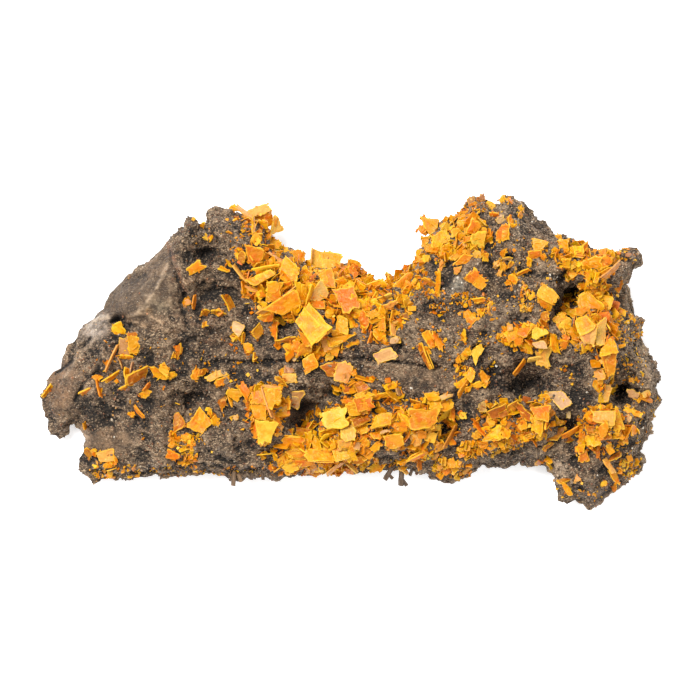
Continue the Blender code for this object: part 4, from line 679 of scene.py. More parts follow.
TABLETS["wide_golden"] = (
    ("orange", 250, 12, 1.2, 405, 409, 438, 407, 436, 428, 411, 428),
    ("golden", 190, 30, 0.4, 395, 417, 400, 407, 405, 412, 406, 424),
    ("golden", 200, 35, 0.5, 398, 412, 408, 417, 411, 428, 402, 424),
    ("peach", 260, 28, 0.3, 405, 429, 424, 432, 420, 445, 414, 446),
    ("golden", 280, 45, 0.5, 412, 427, 440, 425, 440, 430, 424, 431),
    ("golden", 250, 40, 0, 410, 441, 414, 446, 412, 450, 410, 448),
    ("golden", 90, 30, 0.6, 423, 393, 436, 391, 440, 399, 428, 401),
    ("golden", 70, 25, 0.9, 428, 400, 441, 398, 443, 408, 430, 409),
    ("golden", 60, 25, 0.6, 438, 400, 452, 399, 453, 407, 440, 414),
    ("golden", 310, 35, 0.4, 440, 414, 452, 406, 447, 417, 437, 424),
    ("pinkish", 90, 30, 0.4, 438, 396, 449, 392, 451, 396, 441, 400),
    ("orange", 20, 40, 0.2, 450, 406, 456, 408, 454, 421, 449, 418),
    ("yellow", 270, 20, 0, 459, 412, 466, 412, 466, 418, 459, 419),
    ("amber", 0, 70, 0.4, 455, 425, 443, 447),
)
TABLETS["crest"] = (
    ("orange", 110, 22, 0.8, 421, 217, 439, 219, 437, 231, 428, 236),
    ("orange", 170, 28, 0.2, 416, 233, 419, 223, 430, 225, 427, 235),
    ("yellow", 200, 18, 0.3, 421, 237, 430, 236, 430, 246, 422, 247),
    ("golden", 100, 18, 1, 430, 237, 446, 229, 449, 241, 433, 249),
    ("yellow", 60, 22, 0.9, 450, 229, 458, 228, 462, 235, 452, 238),
    ("golden", 90, 35, 0.8, 442, 230, 447, 224, 451, 229, 449, 238),
    ("golden", 250, 30, 0.3, 441, 248, 449, 243, 450, 252, 443, 252),
    ("golden", 250, 35, 0.2, 430, 250, 437, 246, 440, 250, 433, 254),
    ("orange", 120, 40, 0.2, 421, 219, 424, 215, 428, 219, 425, 224),
    ("orange", 330, 25, 1, 464, 235, 472, 219, 481, 225, 476, 235),
    ("golden", 130, 30, 0.6, 451, 222, 458, 213, 465, 214, 455, 225),
    ("golden", 100, 40, 0.8, 456, 219, 468, 215, 475, 219, 460, 222),
    ("golden", 0, 62, 0.9, 457, 227, 470, 221),
    ("yellow", 200, 25, 0.4, 456, 221, 464, 221, 460, 228, 457, 227),
    ("golden", 90, 40, 0.4, 458, 212, 471, 210, 471, 214, 460, 215),
    ("yellow", 340, 18, 1, 470, 236, 485, 233, 483, 250, 472, 247),
    ("golden", 100, 40, 0.9, 461, 238, 478, 235, 477, 240, 464, 243),
    ("peach", 250, 18, 0.3, 472, 252, 480, 252, 480, 259, 472, 259),
    ("golden", 350, 30, 0.3, 481, 252, 488, 254, 487, 263, 482, 261),
    ("peach", 200, 30, 0.4, 459, 241, 466, 240, 466, 249, 462, 247),
)
TABLETS["lone_tablet"] = (
    ("orange", 300, 15, 0.6, 463, 279, 473, 269, 487, 282, 480, 291),
)
TABLETS["loose_east"] = (
    ("yellow", 60, 22, 0.2, 486, 202, 496, 200, 495, 213, 491, 215),
    ("orange", 270, 40, 0.4, 488, 213, 502, 214, 499, 218, 491, 219),
    ("pinkish", 270, 12, 0.3, 494, 220, 501, 216, 505, 220, 499, 226),
    ("golden", 120, 35, 0, 498, 199, 505, 194, 506, 201, 500, 203),
    ("golden", 20, 45, 0.3, 507, 217, 510, 216, 514, 224, 509, 227),
    ("golden", 280, 40, 0, 510, 224, 516, 225, 515, 229, 511, 229),
    ("golden", 60, 20, 0, 517, 208, 521, 205, 524, 210, 519, 212),
    ("golden", 0, 60, 0, 519, 212, 517, 218),
    ("golden", 20, 30, 0.3, 500, 261, 505, 265, 504, 272, 499, 270),
    ("peach", 120, 30, 0.2, 492, 263, 499, 261, 499, 266, 493, 268),
    ("orange", 200, 35, 0, 498, 252, 506, 249, 503, 258, 498, 257),
    ("peach", 250, 30, 0, 496, 274, 502, 270, 500, 276, 497, 278),
    ("amber", 320, 35, 0, 506, 266, 510, 262, 514, 264, 508, 269),
    ("tan", 280, 40, 0, 497, 259, 510, 258, 510, 261, 499, 262),
    ("golden", 70, 22, 0.3, 504, 276, 513, 274, 519, 282, 512, 285),
    ("orange", 300, 50, 0.3, 515, 275, 528, 268, 529, 271, 518, 276),
    ("golden", 250, 25, 0, 503, 283, 509, 281, 510, 285, 505, 286),
    ("golden", 110, 22, 0.2, 610, 310, 617, 305, 626, 311, 625, 317),
    ("golden", 110, 30, 0, 613, 333, 618, 330, 619, 336, 614, 338),
    ("golden", 110, 25, 0.2, 622, 412, 626, 407, 641, 412, 640, 418),
    ("pinkish", 200, 25, 0, 625, 415, 629, 413, 631, 420, 626, 424),
    ("pinkish", 250, 22, 0.1, 625, 390, 640, 390, 638, 399, 630, 400),
    ("peach", 30, 25, 0, 641, 392, 649, 390, 649, 396, 643, 398),
    ("amber", 0, 60, 0, 638, 397, 651, 404),
    ("amber", 110, 35, 0.1, 606, 458, 619, 451, 621, 456, 609, 461),
    ("orange", 30, 35, 0.3, 608, 471, 614, 468, 621, 482, 617, 486),
    ("orange", 250, 40, 0.1, 612, 484, 619, 484, 616, 493, 613, 492),
    ("yellow", 270, 25, 0, 600, 482, 607, 481, 606, 486, 601, 486),
    ("golden", 230, 28, 0.3, 561, 482, 567, 483, 573, 495, 567, 496),
    ("amber", 100, 40, 0.2, 557, 481, 572, 475, 571, 480, 560, 484),
    ("peach", 90, 20, 0.1, 574, 479, 577, 474, 582, 480, 575, 482),
    ("pinkish", 310, 35, 0.3, 534, 464, 544, 455, 548, 458, 538, 466),
    ("orange", 80, 35, 0.2, 547, 455, 559, 459, 550, 464, 546, 461),
    ("golden", 300, 45, 0.1, 545, 461, 551, 465, 557, 474, 553, 473),
    ("tan", 120, 30, 0, 467, 198, 474, 196, 476, 203, 469, 205),
    ("tan", 60, 35, 0, 478, 197, 484, 192, 486, 200, 480, 202),
)
TABLETS["square_orange"] = (
    ("orange", 200, 18, 0.5, 497, 226, 508, 225, 508, 240, 495, 242),
)
TABLETS["corner_curl"] = (
    ("yellow", 90, 15, 0.5, 531, 239, 549, 242, 541, 250, 531, 251),
    ("orange", 290, 30, 0.4, 526, 253, 541, 250, 540, 257, 528, 261),
    ("golden", 190, 45, 0.2, 526, 258, 531, 260, 529, 268, 526, 267),
    ("golden", 290, 25, 0, 539, 256, 545, 255, 545, 260, 541, 260),
)
TABLETS["pale_tablet"] = (
    ("yellow", 40, 16, 0.9, 542, 283, 559, 297, 551, 305, 534, 297),
    ("golden", 260, 40, 0.2, 536, 298, 552, 305, 549, 312, 539, 306),
    ("amber", 200, 30, 0, 537, 312, 548, 312, 547, 322, 538, 319),
    ("amber", 30, 45, 0, 537, 320, 543, 318, 548, 329, 544, 330),
)
TABLETS["north_east"] = (
    ("golden", 200, 20, 0.5, 557, 239, 566, 241, 568, 252, 559, 255),
    ("golden", 100, 25, 0.2, 555, 235, 561, 234, 562, 241, 556, 241),
    ("golden", 80, 20, 0.4, 568, 247, 582, 246, 583, 258, 570, 258),
    ("orange", 340, 45, 0.5, 580, 249, 588, 241, 586, 252, 582, 256),
    ("golden", 250, 20, 0.8, 580, 262, 600, 256, 601, 269, 582, 270),
    ("orange", 60, 25, 0.9, 599, 258, 608, 256, 617, 262, 600, 268),
    ("golden", 100, 35, 0.4, 585, 253, 606, 248, 615, 253, 598, 258),
    ("golden", 190, 40, 0.4, 585, 270, 590, 268, 590, 284, 584, 288),
    ("golden", 10, 40, 0.4, 594, 272, 599, 272, 596, 283, 592, 284),
    ("peach", 0, 62, 1, 600, 277, 617, 262),
    ("golden", 300, 30, 0.5, 598, 270, 612, 268, 606, 279, 600, 277),
    ("golden", 250, 25, 0.1, 560, 259, 569, 260, 568, 269, 562, 268),
    ("yellow", 30, 30, 0, 569, 263, 575, 262, 575, 268, 570, 270),
    ("golden", 70, 30, 0.3, 605, 249, 618, 252, 620, 258, 609, 258),
    ("golden", 250, 30, 0.2, 578, 284, 588, 280, 590, 289, 579, 291),
    ("golden", 300, 30, 0.2, 591, 289, 601, 286, 604, 292, 596, 298),
    ("golden", 290, 35, 0.1, 598, 281, 606, 278, 604, 284, 600, 284),
)
TABLETS["corner_wedge"] = (
    ("orange", 20, 28, 0.4, 609, 277, 625, 279, 620, 290, 617, 297),
)
TABLETS["rosette"] = (
    ("golden", 100, 14, 2.4, 575, 296, 588, 291, 604, 308, 582, 320),
    ("golden", 150, 14, 2.2, 572, 320, 584, 316, 596, 328, 577, 338),
    ("peach", 280, 18, 1.9, 577, 336, 596, 324, 592, 345, 582, 344),
    ("golden", 140, 20, 0.8, 551, 319, 561, 312, 570, 321, 557, 328),
    ("yellow", 250, 22, 1, 557, 321, 568, 319, 570, 327, 559, 329),
    ("golden", 90, 30, 1.2, 573, 308, 588, 309, 592, 316, 574, 316),
    ("peach", 20, 30, 1.2, 595, 324, 605, 316, 603, 345, 593, 346),
    ("orange", 40, 35, 0.8, 601, 308, 607, 310, 615, 330, 604, 327),
    ("pinkish", 260, 25, 1.4, 577, 343, 584, 338, 588, 341, 580, 348),
    ("golden", 280, 35, 0.9, 582, 347, 592, 341, 590, 350, 586, 350),
    ("golden", 300, 35, 0.7, 589, 315, 598, 312, 598, 324, 592, 322),
    ("golden", 100, 35, 0.7, 565, 312, 574, 309, 580, 316, 570, 318),
    ("golden", 100, 25, 0.9, 600, 345, 612, 336, 616, 352, 598, 356),
    ("orange", 250, 20, 0.9, 599, 352, 615, 349, 613, 372, 604, 378),
    ("golden", 90, 35, 0, 614, 345, 624, 344, 623, 347, 616, 348),
    ("peach", 170, 22, 0.3, 592, 371, 599, 367, 605, 377, 594, 381),
    ("peach", 300, 18, 0.3, 600, 383, 611, 386, 607, 401, 597, 402),
    ("golden", 270, 30, 0.1, 593, 380, 602, 379, 601, 385, 595, 384),
    ("yellow", 90, 20, 0, 611, 384, 616, 384, 616, 388, 611, 388),
)
TABLETS["star_cluster"] = (
    ("golden", 200, 22, 0.7, 502, 333, 516, 326, 517, 337, 508, 344),
    ("orange", 100, 22, 0.9, 514, 327, 531, 328, 524, 338, 516, 336),
    ("golden", 270, 25, 0.9, 511, 336, 523, 335, 521, 345, 514, 347),
    ("yellow", 80, 18, 0.9, 530, 328, 541, 326, 547, 334, 532, 341),
    ("pinkish", 270, 14, 1, 531, 343, 543, 340, 547, 349, 534, 348),
    ("peach", 250, 20, 0.5, 534, 350, 549, 349, 549, 369, 536, 365),
    ("golden", 20, 35, 0.4, 549, 334, 555, 334, 559, 353, 550, 352),
    ("peach", 100, 30, 0.4, 505, 323, 512, 325, 511, 330, 506, 331),
    ("orange", 0, 65, 0.5, 524, 340, 531, 348), ("orange", 0, 65, 0.2, 512, 374, 523, 359),
    ("peach", 0, 65, 0.3, 526, 359, 541, 357),
    ("golden", 280, 35, 0.1, 558, 340, 568, 341, 565, 349, 560, 350),
    ("golden", 200, 30, 0.3, 501, 340, 508, 337, 511, 346, 505, 345),
)
TABLETS["dark_square"] = (
    ("orange", 200, 22, 0.3, 463, 312, 472, 310, 476, 320, 468, 329),
    ("golden", 60, 25, 0.2, 475, 310, 484, 308, 484, 316, 478, 317),
    ("peach", 350, 40, 0.1, 487, 303, 491, 302, 491, 315, 487, 315),
    ("orange", 280, 45, 0.1, 471, 300, 483, 298, 484, 301, 474, 304),
)
TABLETS["pale_leaf"] = (
    ("yellow", 60, 20, 0.3, 470, 350, 481, 344, 483, 350, 475, 364),
    ("golden", 200, 30, 0.1, 459, 352, 469, 346, 470, 355, 462, 361),
    ("orange", 200, 35, 0, 455, 355, 459, 356, 460, 363, 456, 363),
)
TABLETS["flower"] = (
    ("golden", 200, 25, 0.5, 452, 384, 464, 378, 467, 384, 458, 389),
    ("golden", 130, 25, 0.6, 463, 375, 469, 367, 475, 372, 470, 383),
    ("orange", 30, 22, 0.6, 477, 376, 481, 370, 489, 378, 486, 386),
    ("golden", 280, 25, 0.5, 471, 384, 480, 381, 484, 386, 474, 389),
    ("golden", 0, 65, 0.7, 456, 396, 466, 380),
    ("golden", 280, 35, 0.1, 463, 388, 471, 385, 470, 391, 465, 392),
)
TABLETS["dark_wing"] = (
    ("amber", 300, 28, 0.4, 485, 412, 505, 403, 508, 415, 491, 419),
    ("amber", 300, 30, 0.4, 506, 406, 519, 398, 519, 409, 508, 413),
    ("amber", 230, 35, 0.5, 514, 405, 519, 403, 533, 419, 524, 421),
    ("orange", 90, 15, 0.9, 528, 407, 549, 405, 547, 421, 535, 419),
    ("golden", 210, 18, 0.8, 528, 412, 543, 417, 540, 437, 532, 430),
    ("orange", 0, 60, 0.6, 548, 406, 549, 407, 545, 430, 544, 428),
    ("orange", 200, 25, 0.2, 515, 421, 526, 419, 526, 429, 518, 430),
    ("golden", 260, 20, 0.4, 517, 433, 530, 429, 531, 440, 520, 439),
    ("tan", 180, 30, 0, 478, 400, 486, 398, 485, 412, 478, 411),
    ("golden", 0, 60, 0, 485, 404, 490, 409),
)
TABLETS["low_triangles"] = (
    ("golden", 110, 22, 0.6, 482, 439, 500, 423, 502, 439, 484, 440),
    ("golden", 200, 22, 0.4, 477, 428, 490, 425, 488, 434, 480, 436),
    ("yellow", 250, 25, 0.2, 470, 436, 478, 429, 481, 438, 477, 438),
    ("golden", 60, 25, 0.4, 500, 427, 511, 429, 508, 438, 501, 438),
    ("golden", 60, 30, 0.2, 499, 419, 506, 421, 505, 425, 500, 424),
    ("orange", 0, 62, 0.6, 472, 423, 485, 436),
    ("golden", 260, 22, 0.2, 480, 441, 488, 441, 486, 449, 481, 448),
    ("golden", 270, 25, 0.1, 496, 440, 505, 442, 503, 449, 499, 447),
)
TABLETS["low_right_fans"] = (
    ("amber", 120, 28, 0.4, 545, 440, 553, 429, 566, 427, 557, 440),
    ("amber", 280, 40, 0.3, 540, 449, 549, 443, 555, 443, 545, 450),
    ("orange", 0, 62, 0.4, 561, 435, 580, 425),
    ("amber", 90, 30, 0.1, 559, 436, 571, 436, 575, 441, 563, 443),
)
TABLETS["pink_tablet"] = (
    ("pinkish", 50, 16, 0.4, 545, 393, 560, 390, 572, 402, 560, 409),
    ("golden", 200, 25, 0.2, 539, 395, 548, 393, 550, 402, 540, 402),
    ("yellow", 270, 15, 0, 555, 420, 563, 420, 563, 424, 556, 424),
    ("pinkish", 0, 15, 0, 566, 411, 570, 411, 570, 418, 566, 418),
)
TABLETS["east_cluster"] = (
    ("peach", 100, 15, 1, 591, 411, 614, 410, 612, 426, 592, 421),
    ("golden", 250, 18, 1.1, 593, 427, 604, 420, 611, 431, 600, 440),
    ("golden", 200, 20, 0.9, 583, 436, 596, 433, 599, 444, 588, 449),
    ("golden", 20, 30, 0.8, 611, 411, 616, 406, 623, 428, 613, 430),
    ("orange", 200, 35, 0.5, 577, 441, 583, 425, 590, 430, 580, 448),
    ("amber", 200, 28, 0.3, 579, 452, 587, 449, 588, 460, 577, 463),
    ("golden", 60, 25, 0.6, 613, 430, 622, 432, 622, 438, 611, 438),
    ("golden", 10, 40, 0.4, 622, 426, 627, 428, 627, 445, 622, 443),
    ("amber", 90, 30, 0.6, 583, 425, 595, 426, 594, 434, 586, 433),
    ("golden", 210, 35, 0.3, 576, 444, 585, 444, 583, 453, 576, 456),
    ("orange", 270, 35, 0.2, 594, 449, 600, 449, 599, 457, 596, 457),
    ("golden", 0, 60, 0, 631, 424, 631, 435), ("peach", 0, 60, 0.1, 602, 459, 612, 474),
)

# Groups of single crystals that no solid stands for
LOOSE = ("loose_west", "loose_middle", "loose_east")
# Colour, way, slope, lift and two corners: a blade has this many values, a tablet more
BLADE_ROW = 8


def linear(colour):
    """An eye colour out of 255 as the light values that shaders take."""
    parts = np.array(colour, dtype=float) / 255.0
    return np.where(parts <= 0.04045, parts / 12.92, ((parts + 0.055) / 1.055) ** 2.4)


def chart_to_world(x, y):
    return (x - CHART_MIDDLE[0]) * CHART_UNIT, (CHART_MIDDLE[1] - y) * CHART_UNIT


def world_to_chart(points):
    x = points[:, 0] / CHART_UNIT + CHART_MIDDLE[0]
    y = CHART_MIDDLE[1] - points[:, 1] / CHART_UNIT
    return np.column_stack((x, y))


def deselect_all():
    bpy.ops.object.select_all(action="DESELECT")


def edit(piece):
    """Open a piece in edit mode with all of it selected."""
    deselect_all()
    piece.select_set(True)
    bpy.context.view_layer.objects.active = piece
    bpy.ops.object.mode_set(mode="EDIT")
    bpy.ops.mesh.select_all(action="SELECT")


def select_faces(piece, wanted):
    """Select the faces of a piece in edit mode whose normal passes a test."""
    bpy.ops.mesh.select_all(action="DESELECT")
    shell = bmesh.from_edit_mesh(piece.data)
    for face in shell.faces:
        if wanted(face.normal):
            face.select_set(True)
    bmesh.update_edit_mesh(piece.data)


def take_shape(piece):
    """Leave edit mode and take the points and faces of the piece, which is then removed."""
    bpy.ops.object.mode_set(mode="OBJECT")
    mesh = piece.data
    points = np.array([v.co for v in mesh.vertices])
    faces = [tuple(face.vertices) for face in mesh.polygons]
    bpy.data.objects.remove(piece, do_unlink=True)
    bpy.data.meshes.remove(mesh)
    return points, faces


# Modelled once: tablets, chips, grains and stubs

# Steps in a tablet's face: how far each is drawn in, and how much of the thickness it rises
FACE_STEPS = {
    "plain": ((0.93, 0.3), (0.72, -0.1)),
    "stepped": ((0.94, 0.28), (0.66, 0.05), (0.9, 0.3)),
    "hollow": ((0.94, 0.28), (0.78, 0.0), (0.9, -0.22)),
}
OUTLINE_CUTS = 5
# A face looks up or down, and an edge stands upright, past this share
UPRIGHT = 0.5


def step_inwards(share, rise):
    """Draw the selected face in towards the tablet's middle and raise or sink it."""
    bpy.ops.mesh.inset(thickness=0.0, depth=0.0)
    bpy.ops.transform.resize(value=(share, share, 1.0), center_override=(0.5, 0.5, 0.0))
    bpy.ops.transform.translate(value=(0.0, 0.0, rise))


def model_tablet(steps):
    """A square tablet one unit across and one thick, its top inset in steps."""
    deselect_all()
    bpy.ops.mesh.primitive_plane_add(size=1.0, location=(0.5, 0.5, 0.0))
    tablet = bpy.context.object
    bpy.ops.object.transform_apply(location=True, rotation=False, scale=False)
    edit(tablet)
    bpy.ops.mesh.subdivide(number_cuts=OUTLINE_CUTS)
    bpy.ops.mesh.dissolve_faces()
    bpy.ops.mesh.extrude_region_move(TRANSFORM_OT_translate={"value": (0.0, 0.0, -1.0)})
    bpy.ops.mesh.select_all(action="SELECT")
    bpy.ops.mesh.normals_make_consistent(inside=False)
    select_faces(tablet, lambda normal: normal.z > UPRIGHT)
    for share, rise in steps:
        step_inwards(share, rise)
    select_faces(tablet, lambda normal: normal.z < -UPRIGHT)
    share, rise = steps[0]
    step_inwards(share, -rise)
    return take_shape(tablet)


def model_chip():
    """A small eight-sided tablet with a pinched rim."""
    deselect_all()
    bpy.ops.mesh.primitive_cube_add(size=1.0, location=(0.0, 0.0, 0.0))
    chip = bpy.context.object
    edit(chip)
    bpy.ops.mesh.select_all(action="DESELECT")
    shell = bmesh.from_edit_mesh(chip.data)
    for edge in shell.edges:
        if abs(edge.verts[0].co.z - edge.verts[1].co.z) > UPRIGHT:
            edge.select_set(True)
    bmesh.update_edit_mesh(chip.data)
    bpy.ops.mesh.bevel(offset=0.1, segments=1)
    select_faces(chip, lambda normal: abs(normal.z) > UPRIGHT)
    bpy.ops.transform.resize(value=(0.86, 0.9, 1.0))
    return take_shape(chip)


def model_grain(seed):
    """An angular crumb of rock, one unit long."""
    deselect_all()
    bpy.ops.mesh.primitive_ico_sphere_add(subdivisions=1, radius=0.5, location=(0.0, 0.0, 0.0))
    grain = bpy.context.object
    edit(grain)
    bpy.ops.transform.vertex_random(offset=0.16, seed=seed)
    bpy.ops.transform.resize(value=(1.0, 0.8, 0.7))
    return take_shape(grain)


def model_stub():
    """A knotty little rod, one unit long and one across."""
    deselect_all()
    bpy.ops.mesh.primitive_cylinder_add(vertices=8, radius=0.5, depth=1.0, location=(0.0, 0.0, 0.5))
    stub = bpy.context.object
    bpy.ops.object.transform_apply(location=True, rotation=False, scale=False)
    edit(stub)
    bpy.ops.mesh.subdivide(number_cuts=3)
    bpy.ops.transform.vertex_random(offset=0.1, seed=3)
    return take_shape(stub)


class Pile:
    """Small shapes gathered into one mesh, with a tint and a rim value at every point."""

    def __init__(self):
        self.points = []
        self.faces = []
        self.tints = []
        self.deeps = []
        self.rims = []
        self.count = 0

    def add(self, points, faces, tint, deep=(0.0, 0.0, 0.0), rim=None):
        self.faces += [tuple(v + self.count for v in face) for face in faces]
        self.points.append(points)
        self.tints.append(np.tile(tint, (len(points), 1)))
        self.deeps.append(np.tile(deep, (len(points), 1)))
        self.rims.append(np.zeros(len(points)) if rim is None else rim)
        self.count += len(points)

    def piece(self, name, finish):
        mesh = bpy.data.meshes.new(name)
        mesh.from_pydata(np.concatenate(self.points).tolist(), [], self.faces)
        colours = {"tint": np.concatenate(self.tints), "deep": np.concatenate(self.deeps)}
        add_attributes(mesh, colours, {"rim": np.concatenate(self.rims)})
        return finished(name, mesh, finish)


def add_attributes(mesh, colours, values):
    """Colours and single values at every point of a mesh, for its material to read."""
    for name, rows in colours.items():
        layer = mesh.attributes.new(name, "FLOAT_COLOR", "POINT")
        opaque = np.column_stack((rows, np.ones(len(rows))))
        layer.data.foreach_set("color", opaque.astype(np.float32).ravel())
    for name, row in values.items():
        layer = mesh.attributes.new(name, "FLOAT", "POINT")
        layer.data.foreach_set("value", np.asarray(row, dtype=np.float32))


def finished(name, mesh, finish):
    """An object for a mesh that rides with the specimen."""
    piece = bpy.data.objects.new(name, mesh)
    bpy.context.scene.collection.objects.link(piece)
    mesh.materials.append(finish)
    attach(piece, "root")
    return piece


# Materials

# A grain is a noise's size in metres, its detail, its roughness and how far it is squeezed down the
# chart, all turned by STREAK_TURN degrees. A fade is the two values it runs between and the share at each.
STREAK_TURN = 12.0
ROCK_GRAINS = {
    "mottles": ((2.6 * MM, 9.0, 0.8), (0.42, 0.58, 0.75, 0.0)),
    "specks": ((0.55 * MM, 4.0, 0.75), (0.4, 0.53, 0.9, 0.0)),
    "streaks": ((1.7 * MM, 9.0, 0.85, 2.2), (0.55, 0.68, 0.0, 0.75)),
    "crumbs": ((0.45 * MM, 4.0, 0.75, 1.7), (0.52, 0.63, 0.0, 0.9)),
    "rust": ((0.6 * MM, 4.0, 0.8), (0.6, 0.68, 0.0, 0.75)),
}
# Painted light on the crests and painted shade in the hollows, faded in by the relief attribute
RELIEF_PAINTED_LIGHT_FADES = {
    "crest": (0.6, 0.9, 0.0, 0.4),
    "hollow": (0.12, 0.56, 0.85, 0.0),
    "deepest": (0.08, 0.5, 0.8, 0.0),
}
SLAB_FADE = (0.0, 1.0, 0.0, 0.5)
GRIT_FADE = (0.2, 0.9, 0.3, 1.0)
ROCK_DULLNESS = ((0.7 * MM,), (0.5, 0.7, 0.85, 0.5))
CRUMB_SHADE = ((0.5 * MM,), (0.35, 0.7, 0.0, 0.45))
CLOUDS = ((2.2 * MM, 5.0, 0.7), (0.42, 0.6, 0.0, 0.9))
MILK = ((0.9 * MM, 5.0, 0.75), (0.55, 0.7, 0.0, 0.6))
TABLET_DULLNESS = ((0.8 * MM,), (0.3, 0.7, 0.32, 0.57))
CLEAR_FADE = (0.4, 1.0, 0.0, 0.6)
RIM_FADE = (0.84, 0.98, 0.0, 0.62)

# Bumps, the first one undermost: grain, distance in metres, strength
ROCK_BUMPS = (((0.4 * MM, 5.0, 0.8), 0.3 * MM, 1.0), ((1.3 * MM, 4.0, 0.7, 2.0), 0.5 * MM, 0.8))
CRUMB_BUMPS = (((0.15 * MM, 2.0), 0.05 * MM, 1.0),)
TABLET_BUMPS = (((0.5 * MM, 3.0), 0.12 * MM, 1.0), ((2.2 * MM, 3.0), 0.7 * MM, 0.8))

# The colour sockets of a mix node share their names with others, so they are taken by number
MIX_SHARE, MIX_FIRST, MIX_SECOND, MIX_RESULT = 0, 6, 7, 2


class Nodes:
    """A material's node tree, with short calls that add and join nodes."""

    def __init__(self, name):
        self.material = bpy.data.materials.new(name)
        self.material.use_nodes = True
        self.tree = self.material.node_tree
        self.shader = self.tree.nodes["Principled BSDF"]

    def node(self, kind, **settings):
        made = self.tree.nodes.new(kind)
        for key, value in settings.items():
            setattr(made, key, value)
        return made

    def join(self, source, target):
        self.tree.links.new(source, target)

    def attribute(self, name, output):
        return self.node("ShaderNodeAttribute", attribute_name=name).outputs[output]

    def noise(self, size, detail=4.0, roughness=0.6, squeeze=1.0):
        place = self.node("ShaderNodeMapping")
        place.inputs["Rotation"].default_value = (0.0, 0.0, math.radians(STREAK_TURN))
        place.inputs["Scale"].default_value = (1.0, squeeze, 1.0)
        self.join(self.node("ShaderNodeTexCoord").outputs["Object"], place.inputs["Vector"])
        made = self.node("ShaderNodeTexNoise")
        made.inputs["Scale"].default_value = 1.0 / size
        made.inputs["Detail"].default_value = detail
        made.inputs["Roughness"].default_value = roughness
        self.join(place.outputs["Vector"], made.inputs["Vector"])
        return made.outputs["Fac"]

    def ramp(self, value, low, high, start, end):
        """A value stretched from between low and high to between start and end."""
        made = self.node("ShaderNodeMapRange", interpolation_type="SMOOTHSTEP")
        made.inputs["From Min"].default_value = low
        made.inputs["From Max"].default_value = high
        made.inputs["To Min"].default_value = start
        made.inputs["To Max"].default_value = end
        self.join(value, made.inputs["Value"])
        return made.outputs["Result"]

    def patches(self, grain, fade):
        return self.ramp(self.noise(*grain), *fade)

    def mix(self, share, first, second):
        """Two colours mixed by a socket's share. Each is a socket or an eye colour."""
        made = self.node("ShaderNodeMix", data_type="RGBA")
        self.join(share, made.inputs[MIX_SHARE])
        for colour, socket in ((first, made.inputs[MIX_FIRST]), (second, made.inputs[MIX_SECOND])):
            if isinstance(colour, tuple):
                socket.default_value = (*linear(colour), 1.0)
            else:
                self.join(colour, socket)
        return made.outputs[MIX_RESULT]

    def bumps(self, layers):
        """A normal bumped by several noises, one on another."""
        normal = None
        for grain, distance, strength in layers:
            made = self.node("ShaderNodeBump")
            made.inputs["Distance"].default_value = distance
            made.inputs["Strength"].default_value = strength
            self.join(self.noise(*grain), made.inputs["Height"])
            if normal:
                self.join(normal, made.inputs["Normal"])
            normal = made.outputs["Normal"]
        return normal

    def shade(self, **looks):
        """Give the shader's own sockets one value all over, or join a pattern to them."""
        for name, look in looks.items():
            socket = self.shader.inputs[name.replace("_", " ")]
            if isinstance(look, bpy.types.NodeSocket):
                self.join(look, socket)
            else:
                socket.default_value = look


def rock_finish():
    """Dull crumbly rock: its tint, mottled and streaked, rusty in specks, with painted light on its crests
    and painted shade in its hollows.
    """
    made = Nodes("crumbly_rock")
    relief = made.attribute("relief", "Fac")
    shares = {kind: made.patches(*pattern) for kind, pattern in ROCK_GRAINS.items()}
    shares.update({kind: made.ramp(relief, *fade) for kind, fade in RELIEF_PAINTED_LIGHT_FADES.items()})
    plain = made.attribute("tint", "Color")
    # Mottles, then painted light on the crests and painted shade in the hollows
    for kind in ("mottles", "crest", "hollow"):
        plain = made.mix(shares[kind], plain, ROCK_TONES_AND_PAINTED_LIGHT[kind])
    crumbly = plain
    for kind in ("specks", "streaks", "crumbs", "rust"):
        crumbly = made.mix(shares[kind], crumbly, ROCK_TONES_AND_PAINTED_LIGHT[kind])
    slab = made.mix(made.ramp(shares["streaks"], *SLAB_FADE), plain, ROCK_TONES_AND_PAINTED_LIGHT["slab"])
    colour = made.mix(made.ramp(made.attribute("grit", "Fac"), *GRIT_FADE), slab, crumbly)
    # Painted shade in the deepest hollows
    colour = made.mix(shares["deepest"], colour, ROCK_TONES_AND_PAINTED_LIGHT["deepest"])
    made.shade(Base_Color=colour, Roughness=made.patches(*ROCK_DULLNESS), IOR=1.45)
    made.shade(Normal=made.bumps(ROCK_BUMPS))
    return made.material


def grain_finish():
    """Small crumbs of the same rock, each in its own tint."""
    made = Nodes("rock_grains")
    tint = made.attribute("tint", "Color")
    colour = made.mix(made.patches(*CRUMB_SHADE), tint, ROCK_TONES_AND_PAINTED_LIGHT["crumb_shade"])
    made.shade(Base_Color=colour, Roughness=0.55, IOR=1.5, Normal=made.bumps(CRUMB_BUMPS))
    return made.material


def tablet_finish():
    """Waxy golden crystal: bright at its rim, deeper and blotched towards its middle."""
    made = Nodes("golden_tablet")
    tint = made.attribute("tint", "Color")
    edge = made.attribute("rim", "Fac")
    middle = made.mix(made.patches(*CLOUDS), tint, made.attribute("deep", "Color"))
    body = made.mix(made.ramp(edge, *CLEAR_FADE), middle, tint)
    milky = made.mix(made.patches(*MILK), body, MILKY_COLOUR)
    colour = made.mix(made.ramp(edge, *RIM_FADE), milky, RIM_COLOUR)
    made.shade(Base_Color=colour, Roughness=made.patches(*TABLET_DULLNESS), IOR=1.42)
    made.shade(Specular_IOR_Level=0.3, Transmission_Weight=0.1, Normal=made.bumps(TABLET_BUMPS))
    return made.material


def floor_finish():
    """A pale floor, a little lit from below as on a light table."""
    made = Nodes("pale_floor")
    made.shade(Base_Color=made.mix(made.noise(FLOOR_CLOUDS), *FLOOR_COLOURS), Roughness=0.9)
    made.shade(Emission_Color=(1.0, 1.0, 1.0, 1.0), Emission_Strength=FLOOR_GLOW)
    return made.material


# The rock

